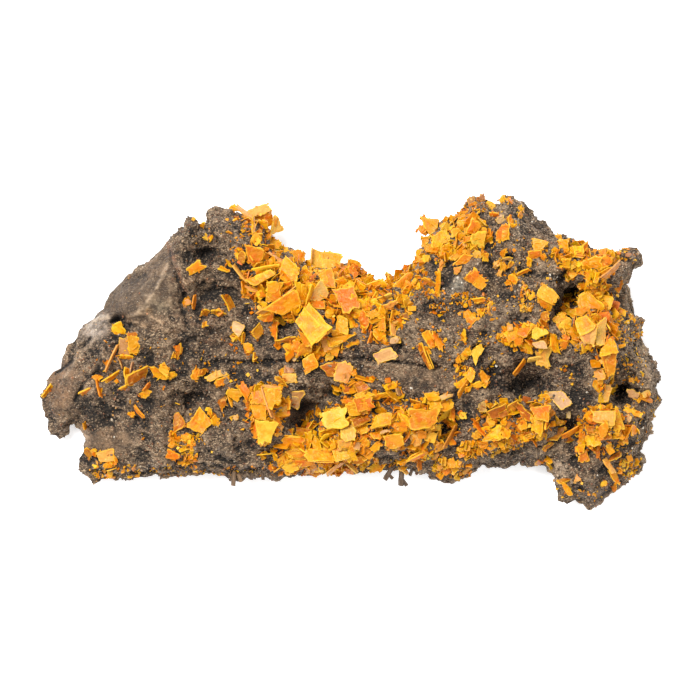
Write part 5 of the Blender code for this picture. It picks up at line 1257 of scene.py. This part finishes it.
# Relief of the rock: the size and the height of each layer
ROCK_LAYERS = ((4.2 * MM, 0.6 * MM), (1.9 * MM, 0.45 * MM), (0.95 * MM, 0.34 * MM))
RIDGE_LAYERS = ((3.6 * MM, 1.1 * MM), (1.7 * MM, 0.6 * MM), (0.9 * MM, 0.3 * MM))
KNOB_LAYERS = ((2.3 * MM, 0.5 * MM), (0.95 * MM, 0.35 * MM))
RIDGE_MIDDLE = 0.25
KNOB_MIDDLE = 0.45
PIT_SIZE = 1.5 * MM
PIT_REACH = 0.34
PIT_DEPTH = 0.7 * MM
BEDDING = 1.5
FULL_RELIEF_HEIGHT = 2.0 * MM
# How steeply a smooth place's flat middle ends, and the carving on steep sides
SMOOTH_PLATEAU = 1.6
CARVING_PLATEAU = 3.0
# The relief attribute, which guides the painted light on crests and the painted shade in hollows: its
# middle, and the relief or the carving that spans it
SHADE_MIDDLE = 0.52
SHADE_SPAN = 1.3 * MM
CARVED_SPAN = 1.7 * MM
# Upward share of a normal from which a place is cut fine, and from which it is smoothed first
BACK_SLOPE = -0.15
UPPER_SLOPE = 0.35
SMOOTHINGS = 2
MERGE = 0.001 * MM


def distance_to_line(points, line):
    """Distance from each point to a line of straight stretches."""
    ends = np.array(line, dtype=float)
    nearest = np.full(len(points), np.inf)
    for start, stop in zip(ends[:-1], ends[1:]):
        along = stop - start
        share = np.clip(((points - start) @ along) / (along @ along), 0.0, 1.0)
        nearest = np.minimum(nearest, np.linalg.norm(points - start - share[:, None] * along, axis=1))
    return nearest


def line_weight(chart, line, width):
    """1 on a line of the chart, falling away to either side."""
    return np.exp(-(distance_to_line(chart, line) / width) ** 2)


def place_weight(chart, x, y, across, down):
    """1 at a place of the chart, falling away all round."""
    return np.exp(-((chart[:, 0] - x) / across) ** 2 - ((chart[:, 1] - y) / down) ** 2)


def roughness_left(chart):
    """How rough each place is, from 1 down to the smooth places' share."""
    left = np.ones(len(chart))
    for *place, share in SMOOTH_PLACES:
        flat = np.clip(SMOOTH_PLATEAU * place_weight(chart, *place), 0.0, 1.0)
        left *= 1.0 - (1.0 - share) * flat
    return left


def refine(shell, rough_edge, smooth_edge, back_edge):
    """Halve the long edges until each is shorter than its place on the rock asks."""
    for _ in range(REFINE_ROUNDS):
        shell.normal_update()
        shell.verts.index_update()
        left = roughness_left(world_to_chart(np.array([v.co for v in shell.verts])))
        fine = np.array([v.normal.z for v in shell.verts]) > BACK_SLOPE
        longest = np.where(fine, smooth_edge + (rough_edge - smooth_edge) * left, back_edge)
        long_edges = []
        for edge in shell.edges:
            first, second = edge.verts
            if edge.calc_length() > min(longest[first.index], longest[second.index]):
                long_edges.append(edge)
        if not long_edges:
            return
        bmesh.ops.subdivide_edges(shell, edges=long_edges, cuts=1)
        bmesh.ops.triangulate(shell, faces=[face for face in shell.faces if len(face.verts) > 3])


def rock_relief(points):
    """Height of the fine relief at each point: noise, sharp ridges along the beds, knobs and pits."""
    heights = []
    for point in points:
        place = Vector(point)
        bedded = Vector((point[0] / BEDDING, point[1], point[2]))
        height = sum(rise * noise.noise(place / size) for size, rise in ROCK_LAYERS)
        height += sum(rise * (RIDGE_MIDDLE - abs(noise.noise(bedded / size))) for size, rise in RIDGE_LAYERS)
        height += sum(rise * (KNOB_MIDDLE - noise.voronoi(place / size)[0][0]) for size, rise in KNOB_LAYERS)
        height -= PIT_DEPTH * max(0.0, 1.0 - noise.voronoi(bedded / PIT_SIZE)[0][0] / PIT_REACH)
        heights.append(height)
    return np.array(heights)


def carving(chart):
    """How far hollows, ridges and seams move the rock's upper side, in metres."""
    height = np.zeros(len(chart))
    for *place, depth in HOLLOWS:
        height -= depth * MM * place_weight(chart, *place)
    for line, width, rise in RIDGES:
        height += rise * MM * line_weight(chart, line, width)
    for line, width, depth in SEAMS:
        height -= depth * MM * line_weight(chart, line, width)
    return height


def stained(tints, weight, colour):
    """Tints with another colour mixed in by its weight at each point."""
    share = weight[:, None]
    return tints * (1.0 - share) + linear(colour) * share


def rock_tints(chart):
    """The rock's colour at each point of the chart, its own tints with painted shade in its holes and under
    its ledges.
    """
    tints = np.tile(linear(ROCK_COLOUR), (len(chart), 1))
    for *place, colour, strength in ROCK_TINTS:
        tints = stained(tints, strength * place_weight(chart, *place), colour)
    for line, width, colour, strength in STREAKS:
        tints = stained(tints, strength * line_weight(chart, line, width), colour)
    return tints * ROCK_WARMTH


def build_rock(finish):
    """The rock's surface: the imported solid's, cut fine, with grainy relief and seams."""
    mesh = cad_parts["rock_matrix"].data.copy()
    mesh.name = "rock_surface"
    mesh.materials.clear()
    shell = bmesh.new()
    shell.from_mesh(mesh)
    bmesh.ops.remove_doubles(shell, verts=shell.verts, dist=MERGE)
    refine(shell, FIRST_EDGE, FIRST_EDGE, 2 * FIRST_EDGE)
    for _ in range(SMOOTHINGS):
        upper = [v for v in shell.verts if v.normal.z > UPPER_SLOPE]
        bmesh.ops.smooth_vert(
            shell, verts=upper, factor=0.5, use_axis_x=True, use_axis_y=True, use_axis_z=True
        )
    refine(shell, ROUGH_EDGE, SMOOTH_EDGE, BACK_EDGE)
    shell.normal_update()
    points = np.array([v.co for v in shell.verts])
    normals = np.array([v.normal for v in shell.verts])
    chart = world_to_chart(points)
    relief = rock_relief(points)
    grit = roughness_left(chart)
    amount = grit * np.clip(points[:, 2] / FULL_RELIEF_HEIGHT, 0.0, 1.0)
    moved = points + normals * (relief * amount)[:, None]
    carved = carving(chart) * np.clip(CARVING_PLATEAU * normals[:, 2], 0.0, 1.0)
    moved[:, 2] += carved
    moved[:, 2] = np.maximum(moved[:, 2], 0.0)
    for vertex, place in zip(shell.verts, moved):
        vertex.co = place
    shell.to_mesh(mesh)
    shell.free()
    # The relief attribute, for the painted light on crests and the painted shade in hollows
    level = SHADE_MIDDLE + (relief - relief.mean()) * amount / SHADE_SPAN + carved / CARVED_SPAN
    values = {"relief": np.clip(level, 0.0, 1.0), "grit": grit}
    add_attributes(mesh, {"tint": rock_tints(chart)}, values)
    rock = finished("rock_surface", mesh, finish)
    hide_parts("rock_matrix")
    return rock


# Loose grains, glints and stubs

# Eye colours of the grains, with the odds of each
DARK_GRAINS = (
    ((40, 32, 26), 4), ((74, 60, 48), 5), ((108, 90, 72), 5), ((130, 106, 82), 3), ((122, 68, 36), 1),
)
PALE_GRAINS = (
    ((150, 128, 104), 5), ((176, 154, 126), 4), ((138, 78, 38), 3), ((206, 188, 162), 1.5),
    ((186, 130, 52), 1.2),
)
# Grains by piece: seed, how many, usual size in millimetres, colours
GRAINS = {
    "dark_grains": (11, 7500, 0.38, DARK_GRAINS),
    "pale_grains": (12, 5500, 0.28, PALE_GRAINS),
}
GRAIN_SHAPES = (1, 4, 9)
GRAIN_SPREAD = 0.34
GRAIN_SIZES = (0.2, 1.1)
GRAIN_STANDS_OUT = 0.15
GRAIN_OWN_COLOUR = 0.6
GRAIN_LOWEST = 1.0 * MM
GRAIN_SLOPE = -0.1
# Grains keep to rough places: the power of the roughness, and the odds left where there is none
GRAIN_ROUGHNESS_POWER = 1.5
GRAIN_SMOOTH_ODDS = 0.04
# Grains follow the ground's brightness, painted shade included: by its power, and within limits
GROUND_POWER = 0.8
GROUND_SHADES = (0.3, 1.3)
GLINT_SEED = 41
GLINT_SHAPE = 6
STUB_SHADE = 0.7


def turn(rng):
    """A random rotation as a matrix."""
    basis, _ = np.linalg.qr(rng.normal(size=(3, 3)))
    if np.linalg.det(basis) < 0:
        basis[:, 0] = -basis[:, 0]
    return basis


def build_grains(name, rock, finish):
    """Angular crumbs bedded in the upper side of the rock."""
    seed, count, usual_size, palette = GRAINS[name]
    rng = np.random.default_rng(seed)
    shapes = [model_grain(number) for number in GRAIN_SHAPES]
    mesh = rock.data
    areas = np.array([face.area for face in mesh.polygons])
    middles = np.array([face.center for face in mesh.polygons])
    normals = np.array([face.normal for face in mesh.polygons])
    chart = world_to_chart(middles)
    weights = areas * (normals[:, 2] > GRAIN_SLOPE) * (middles[:, 2] > GRAIN_LOWEST)
    weights *= roughness_left(chart) ** GRAIN_ROUGHNESS_POWER + GRAIN_SMOOTH_ODDS
    chosen = rng.choice(len(middles), size=count, replace=False, p=weights / weights.sum())
    colours = np.array([linear(colour) for colour, _ in palette])
    odds = np.array([share for _, share in palette], dtype=float)
    ground = rock_tints(chart[chosen])
    brightness = ground.mean(axis=1) / linear(ROCK_COLOUR).mean()
    shade = np.clip(brightness ** GROUND_POWER, *GROUND_SHADES)
    pile = Pile()
    for number, face in enumerate(chosen):
        points, faces = shapes[rng.integers(len(shapes))]
        spread = rng.lognormal(math.log(usual_size), GRAIN_SPREAD)
        size = MM * float(np.clip(spread, *GRAIN_SIZES))
        placed = points @ turn(rng).T * size + middles[face] + normals[face] * size * GRAIN_STANDS_OUT
        own = colours[rng.choice(len(colours), p=odds / odds.sum())]
        mixed = GRAIN_OWN_COLOUR * own + (1.0 - GRAIN_OWN_COLOUR) * ground[number]
        pile.add(placed, faces, shade[number] * mixed)
    pile.piece(name, finish)


def surface_below(tree, x, y):
    """Where a ray straight down meets a surface, or None beside it."""
    return tree.ray_cast(Vector((x, y, RAY_START)), Vector((0, 0, -1)))[0]


def build_glints(tree, finish):
    """Pale grains set on the rock, coloured as a painted highlight where glints show."""
    rng = np.random.default_rng(GLINT_SEED)
    points, faces = model_grain(GLINT_SHAPE)
    pile = Pile()
    for x, y, size in GLINTS:
        place = surface_below(tree, *chart_to_world(x, y))
        pile.add(points @ turn(rng).T * size * MM + place, faces, linear(PAINTED_GLINT_COLOUR))
    pile.piece("pale_glints", finish)


def build_stubs(tree, finish):
    """Stubs of dark crust that stand out from the lower edge of the rock."""
    points, faces = model_stub()
    pile = Pile()
    for x1, y1, x2, y2, millimetres in STUBS:
        width = millimetres * MM
        start, stop = (Vector((*chart_to_world(*end), 0.0)) for end in ((x1, y1), (x2, y2)))
        level = tree.find_nearest(Vector((*start.xy, BESIDE_HEIGHT)))[0].z
        along = stop - start
        basis = np.array(along.to_track_quat("Z", "Y").to_matrix())
        foot = start + Vector((0.0, 0.0, level - width))
        placed = points * (width, width, along.length) @ basis.T + foot
        tints = rock_tints(world_to_chart(placed)) * STUB_SHADE
        pile.add(placed, faces, tints[0])
    pile.piece("crust_stubs", finish)


# The crystals

CRYSTAL_SEED = 5
# How tablets differ: face, raggedness, waves of the outline, cut corners, bow and brightness of the rim
SHAPE_ODDS = ("plain", "plain", "stepped", "hollow")
RAGGED_ODDS = (0.12, 0.2, 0.28, 0.36)
OUTLINE_WAVES = ((3.1, 0.0, 1.0), (9.0, 7.0, 0.8))
OUTLINE_SEEDS = (0.0, 90.0)
NEARLY_NOTHING = 1e-9
LARGE_TABLET = 3.4 * MM
LARGE_CUTS = (0.0, 0.04, 0.1, 0.22)
SMALL_CUTS = (0.0, 0.0, 0.1, 0.24, 0.45)
BOWS = (-0.16, 0.16)
BLADE_BRIGHTNESS = 0.88
# How much a colour varies: its brightness as a share, its green and blue out of 255
BRIGHTER = (-0.09, 0.06)
GREENER = (-14, 12)
BLUER = (-6, 14)

# Growth layers on a face: how many, and their size, rise and thickness as shares of the tablet's own
LAYERED_SIZE = 2.2 * MM
LAYER_ODDS = (0, 1, 1, 2)
LAYER_SIZES = (0.35, 0.75)
LAYER_RISES = (0.2, 0.5)
LAYER_THICKNESS = 0.5
LAYER_RAGGED = 0.2
# The second leaf under a tablet, in the same way, and how far it slips aside
LEAF_ODDS = 0.6
LEAF_SIZES = (0.6, 0.92)
LEAF_DROPS = (1.2, 2.2)
LEAF_SLIPS = (-0.06, 0.06)
LEAF_THICKNESS = 0.8
LEAF_RAGGED = 0.15

# Tiny crystals: length, width and thickness as shares, and the brightness of the rim
CHIP_SPANS = ((0.8, 1.3), (0.6, 1.1), (0.5, 1.2))
CHIP_THICKNESS = 0.3 * MM
CHIP_RIMS = (0.4, 1.0)
# The fringe along a tablet's edges: how many, how far inwards, how deep and how large
FRINGE_COUNT = 2.0
FRINGE_PER_MM = 2.2
FRINGE_INWARD = (0.0, 0.12)
FRINGE_DEPTHS = (0.0, 0.5)
FRINGE_SIZES = (0.28, 0.8)
# The crystals under a tablet: how many, where on its face, the least room, how high in it, how large
UNDER_COUNT = 1.0
UNDER_PER_MM = 1.6
UNDER_PLACES = (0.12, 0.88)
UNDER_ROOM = 0.5 * MM
UNDER_HEIGHTS = (0.1, 0.75)
UNDER_SIZES = (0.7, 1.5)
UNDER_COLOURS = ("golden", "orange", "amber")

# Crystals strewn in patches, by piece: patches, seed
STREWN = {"crystal_druse": (DRUSE, 23), "crystal_thickets": (THICKETS, 31)}
PATCH_SPREAD = 1.8
STREWN_SPREAD = 0.4
STREWN_SIZES = (0.2, 2.8)
STREWN_STANDS_OUT = 0.2
FIRST_COLOUR_ODDS = 0.7


def ground_heights(world, tree):
    """Height of the rock under each point; past its edge, that of the nearest rock."""
    heights = []
    for x, y in world:
        hit = surface_below(tree, x, y)
        if hit is None:
            hit = tree.find_nearest(Vector((x, y, BESIDE_HEIGHT)))[0]
        heights.append(hit.z)
    return heights


def tablet_corners(row, tree):
    """A tablet's four corners in space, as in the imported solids."""
    _, toward, slope, lift, *spots = row
    world = [chart_to_world(*spot) for spot in zip(spots[::2], spots[1::2])]
    if len(row) == BLADE_ROW:
        return blade_corners(world, math.radians(toward), math.radians(slope), lift * MM, tree)
    middle = np.mean(world, axis=0)
    steep = math.tan(math.radians(min(slope, STEEPEST)))
    downhill = (math.cos(math.radians(toward)), math.sin(math.radians(toward)))
    tilted = [-steep * float(np.dot(np.subtract(p, middle), downhill)) for p in world]
    *ground, middle_ground = ground_heights(world + [tuple(middle)], tree)
    touching = sorted(g - t for g, t in zip(ground, tilted))
    deepest = touching[0] - TABLET_ROOT
    resting = min(touching[1] - TABLET_ROOT, middle_ground + MIDDLE_RISE)
    rise = max(deepest, resting, middle_ground + CLEAR_RISE) + lift * MM
    return np.array([(x, y, t + rise) for (x, y), t in zip(world, tilted)])


def blade_corners(world, toward, slope, lift, tree):
    """A blade's corners: its upper edge is seen end to end, and its side drops away steeply."""
    start, stop = (np.array(p) for p in world)
    along = (stop - start) / np.linalg.norm(stop - start)
    aside = np.array((-along[1], along[0]))
    if aside @ (math.cos(toward), math.sin(toward)) < 0:
        aside = -aside
    top = max(ground_heights(world, tree)) + BLADE_RISE + lift
    bottom = top - BLADE_DEPTH * math.sin(slope)
    foot = aside * BLADE_DEPTH * math.cos(slope)
    return np.array([(*start, top), (*stop, top), (*(stop + foot), bottom), (*(start + foot), bottom)])


def cross_of_diagonals(corners):
    """A vector square to the face and twice its area long."""
    return np.cross(corners[2] - corners[0], corners[3] - corners[1])


def on_face(corners, u, v):
    """A place on a four-cornered face: u and v run from 0 to 1 along its sides."""
    a, b, c, d = corners
    return a * (1 - u) * (1 - v) + b * u * (1 - v) + c * u * v + d * (1 - u) * v


def cut_corners(across, down, cuts):
    """A square outline's points with its corners cut off, each by its own share."""
    quarter = (across > 0).astype(int) + 2 * (down > 0).astype(int)
    limit = 1.0 - np.array(cuts)[quarter]
    reach = np.maximum(abs(across) + abs(down), NEARLY_NOTHING)
    keep = np.minimum(1.0, limit / reach)
    return across * keep, down * keep


def uneven_swell(across, down, ragged, seed):
    """How far each point of a tablet's outline is drawn out or in."""
    uneven = 0.0
    for waves, shift, share in OUTLINE_WAVES:
        places = [Vector((waves * u, waves * v, seed + shift)) for u, v in zip(across, down)]
        uneven = uneven + share * np.array([noise.noise(place) for place in places])
    return (1.0 + ragged * uneven)[:, None]


def fit_tablet(shape, corners, thickness, ragged, cuts, bow, seed):
    """A unit tablet stretched over four corners, its outline uneven, its face a little bowed."""
    points, faces = shape
    normal = cross_of_diagonals(corners)
    if normal[2] < 0:
        corners = corners[::-1]
        normal = -normal
    normal /= np.linalg.norm(normal)
    rim = 2.0 * np.maximum(abs(points[:, 0] - 0.5), abs(points[:, 1] - 0.5))
    across, down = cut_corners(points[:, 0] - 0.5, points[:, 1] - 0.5, cuts)
    swell = uneven_swell(across, down, ragged, seed)
    flat = on_face(corners, 0.5 + across[:, None] * swell, 0.5 + down[:, None] * swell)
    size = np.linalg.norm(corners[2] - corners[0])
    lift = points[:, 2] * thickness + bow * size * (across ** 2 - down ** 2)
    return flat + normal * lift[:, None], faces, rim


def shrunk(corners, share, toward_corner):
    """The corners of a smaller tablet that shares one corner with a larger one."""
    keep = corners[toward_corner]
    return keep + (corners - keep) * share


class Crystals:
    """Builds each group of tablets on the rock."""

    def __init__(self, solid, surface, finish):
        self.solid = solid
        self.surface = surface
        self.finish = finish
        self.random = random.Random(CRYSTAL_SEED)
        self.shapes = {kind: model_tablet(steps) for kind, steps in FACE_STEPS.items()}
        self.chip = model_chip()

    def tint(self, colour):
        """A tablet's colour, varied a little from one to the next, and its deeper colour."""
        base = np.array(TABLET_COLOURS[colour], dtype=float)
        shade = 1.0 + self.random.uniform(*BRIGHTER)
        warm = np.array((0.0, self.random.uniform(*GREENER), self.random.uniform(*BLUER)))
        return linear(np.clip(base * shade + warm, 0, 255)), linear(DEEP_COLOURS[colour])

    def tablet(self, pile, row):
        """A tablet or a blade as its row tells."""
        blade = len(row) == BLADE_ROW
        corners = tablet_corners(row, self.solid)
        size = math.sqrt(np.linalg.norm(cross_of_diagonals(corners)) / 2)
        thickness = float(np.clip(size * THICKNESS_SHARE, *TABLET_THICKNESS))
        if blade:
            thickness = BLADE_THICKNESS
        kind = self.random.choice(SHAPE_ODDS)
        ragged = self.random.choice(RAGGED_ODDS)
        brightness = BLADE_BRIGHTNESS if blade else 1.0
        pile.add(*self.fitted(kind, corners, thickness, ragged, self.tint(row[0]), brightness))
        if size > LAYERED_SIZE and not blade:
            self.layers(pile, corners, thickness, row[0], size)
        return corners, size

    def fitted(self, kind, corners, thickness, ragged, tints, brightness=1.0):
        """The parts of one tablet, as a pile takes them."""
        large = np.linalg.norm(corners[2] - corners[0]) > LARGE_TABLET
        cuts = [self.random.choice(LARGE_CUTS if large else SMALL_CUTS) for _ in range(4)]
        bow = self.random.uniform(*BOWS)
        seed = self.random.uniform(*OUTLINE_SEEDS)
        placed, faces, rim = fit_tablet(self.shapes[kind], corners, thickness, ragged, cuts, bow, seed)
        return placed, faces, *tints, rim * brightness

    def layers(self, pile, corners, thickness, colour, size):
        """Thinner growth layers on the face and a second leaf under it."""
        normal = cross_of_diagonals(corners)
        normal *= math.copysign(1.0, normal[2]) / np.linalg.norm(normal)
        for _ in range(self.random.choice(LAYER_ODDS)):
            smaller = shrunk(corners, self.random.uniform(*LAYER_SIZES), self.random.randrange(4))
            raised = smaller + normal * thickness * self.random.uniform(*LAYER_RISES)
            thin = thickness * LAYER_THICKNESS
            pile.add(*self.fitted("plain", raised, thin, LAYER_RAGGED, self.tint(colour)))
        if self.random.random() < LEAF_ODDS:
            smaller = shrunk(corners, self.random.uniform(*LEAF_SIZES), self.random.randrange(4))
            lowered = smaller - normal * thickness * self.random.uniform(*LEAF_DROPS)
            lowered += np.array([self.random.uniform(*LEAF_SLIPS) * size for _ in range(3)])
            thin = thickness * LEAF_THICKNESS
            pile.add(*self.fitted("plain", lowered, thin, LEAF_RAGGED, self.tint(colour)))

    def little(self, pile, place, size, colour):
        """One tiny crystal at a place, leaning any way."""
        points, faces = self.chip
        rng = self.generator
        thin = CHIP_THICKNESS / (size + MM)
        spans = np.array([rng.uniform(*span) for span in CHIP_SPANS])
        placed = (points * (size * (spans * (1.0, 1.0, thin)))) @ turn(rng).T + place
        pile.add(placed, faces, *self.tint(colour), np.full(len(points), rng.uniform(*CHIP_RIMS)))

    def fringe(self, pile, corners, size, colour):
        """Small crystals grown along the edges of a tablet and under it."""
        rng = self.generator
        for _ in range(rng.poisson(FRINGE_COUNT + FRINGE_PER_MM * size / MM)):
            edge = rng.integers(4)
            share = rng.uniform(0.0, 1.0)
            start, stop = corners[edge], corners[(edge + 1) % 4]
            inward = corners.mean(axis=0) - start
            place = start + (stop - start) * share + inward * rng.uniform(*FRINGE_INWARD)
            place[2] -= rng.uniform(*FRINGE_DEPTHS) * MM
            self.little(pile, place, MM * rng.uniform(*FRINGE_SIZES), colour)

    def undergrowth(self, pile, corners, size):
        """Crystals that fill the room under a tablet that stands clear of the rock."""
        rng = self.generator
        for _ in range(int(UNDER_COUNT + UNDER_PER_MM * size / MM)):
            place = on_face(corners, *rng.uniform(*UNDER_PLACES, 2))
            ground = ground_heights([tuple(place[:2])], self.solid)[0]
            room = place[2] - ground
            if room < UNDER_ROOM:
                continue
            place[2] = ground + rng.uniform(*UNDER_HEIGHTS) * room
            self.little(pile, place, MM * rng.uniform(*UNDER_SIZES), rng.choice(UNDER_COLOURS))

    def group(self, name, rows):
        """One piece: the tablets of a group with the small crystals around them."""
        self.generator = np.random.default_rng(sum(map(ord, name)))
        pile = Pile()
        for row in rows:
            corners, size = self.tablet(pile, row)
            if len(row) > BLADE_ROW:
                self.fringe(pile, corners, size, row[0])
                self.undergrowth(pile, corners, size)
        piece = pile.piece("tablets_" + name, self.finish)
        if name not in LOOSE:
            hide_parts("crystals_" + name)

    def strew(self, name):
        """Tiny crystals strewn over the rock in patches."""
        patches, seed = STREWN[name]
        self.generator = np.random.default_rng(seed)
        rng = self.generator
        pile = Pile()
        for left, top, right, bottom, count, usual_size, colours in patches:
            first, second = colours.split()
            for _ in range(count):
                angle, reach = rng.uniform(0.0, math.tau), math.sqrt(rng.uniform(0.0, 1.0))
                x = (left + right) / 2 + reach * math.cos(angle) * (right - left) / PATCH_SPREAD
                y = (top + bottom) / 2 + reach * math.sin(angle) * (bottom - top) / PATCH_SPREAD
                hit = surface_below(self.surface, *chart_to_world(x, y))
                if hit is None:
                    continue
                spread = rng.lognormal(math.log(usual_size), STREWN_SPREAD)
                size = MM * float(np.clip(spread, *STREWN_SIZES))
                colour = first if rng.uniform() < FIRST_COLOUR_ODDS else second
                self.little(pile, np.array(hit) + (0, 0, size * STREWN_STANDS_OUT), size, colour)
        pile.piece(name, self.finish)


# Floor, lights and camera

FLOOR_SIZE = 3.0
# Lights: place and size in metres, power in watts
LIGHTS = {
    "key_light": ((-0.36, 0.38, 0.95), 0.5, 19.0),
    "fill_light": ((0.5, -0.25, 0.9), 0.8, 4.0),
}
WORLD_STRENGTH = 0.62
# The long lens in millimetres, and the height at which the chart's width just fills the picture
LENS = 400.0
SENSOR = 36.0
FOCUS_HEIGHT = 10.0 * MM


def build_stage():
    deselect_all()
    bpy.ops.mesh.primitive_plane_add(size=FLOOR_SIZE, location=(0.0, 0.0, 0.0))
    floor = bpy.context.object
    floor.name = "floor"
    floor.data.materials.append(floor_finish())


def area_light(name, place, size, power):
    """A lamp that points at the middle of the specimen."""
    light = bpy.data.lights.new(name, "AREA")
    light.size = size
    light.energy = power
    lamp = bpy.data.objects.new(name, light)
    lamp.location = place
    lamp.rotation_euler = (-Vector(place)).to_track_quat("-Z", "Y").to_euler()
    bpy.context.scene.collection.objects.link(lamp)


def build_lights():
    world = bpy.data.worlds.new("studio")
    world.use_nodes = True
    background = world.node_tree.nodes["Background"]
    background.inputs["Color"].default_value = (1.0, 1.0, 1.0, 1.0)
    background.inputs["Strength"].default_value = WORLD_STRENGTH
    bpy.context.scene.world = world
    for name, (place, size, power) in LIGHTS.items():
        area_light(name, place, size, power)
    bpy.context.scene.view_settings.view_transform = "Standard"


def build_camera():
    """A long lens straight above the middle of the chart's frame."""
    camera_data = bpy.data.cameras.new("camera")
    camera_data.lens = LENS
    camera_data.sensor_width = SENSOR
    camera_data.clip_end = 100.0
    camera = bpy.data.objects.new("camera", camera_data)
    away = VIEW_WIDTH / 2 / math.tan(math.atan(SENSOR / 2 / LENS))
    x, y = chart_to_world(CHART_SIDE / 2, CHART_SIDE / 2)
    camera.location = (x, y, away + FOCUS_HEIGHT)
    bpy.context.scene.collection.objects.link(camera)
    bpy.context.scene.camera = camera


def surface_tree(mesh):
    return BVHTree.FromPolygons([v.co for v in mesh.vertices], [face.vertices for face in mesh.polygons])


def build_specimen():
    rock = build_rock(rock_finish())
    crumbs = grain_finish()
    for name in GRAINS:
        build_grains(name, rock, crumbs)
    surface = surface_tree(rock.data)
    solid = surface_tree(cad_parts["rock_matrix"].data)
    build_glints(surface, crumbs)
    build_stubs(solid, crumbs)
    crystals = Crystals(solid, surface, tablet_finish())
    for name, rows in TABLETS.items():
        crystals.group(name, rows)
    for name in STREWN:
        crystals.strew(name)


build_specimen()
build_stage()
build_lights()
build_camera()
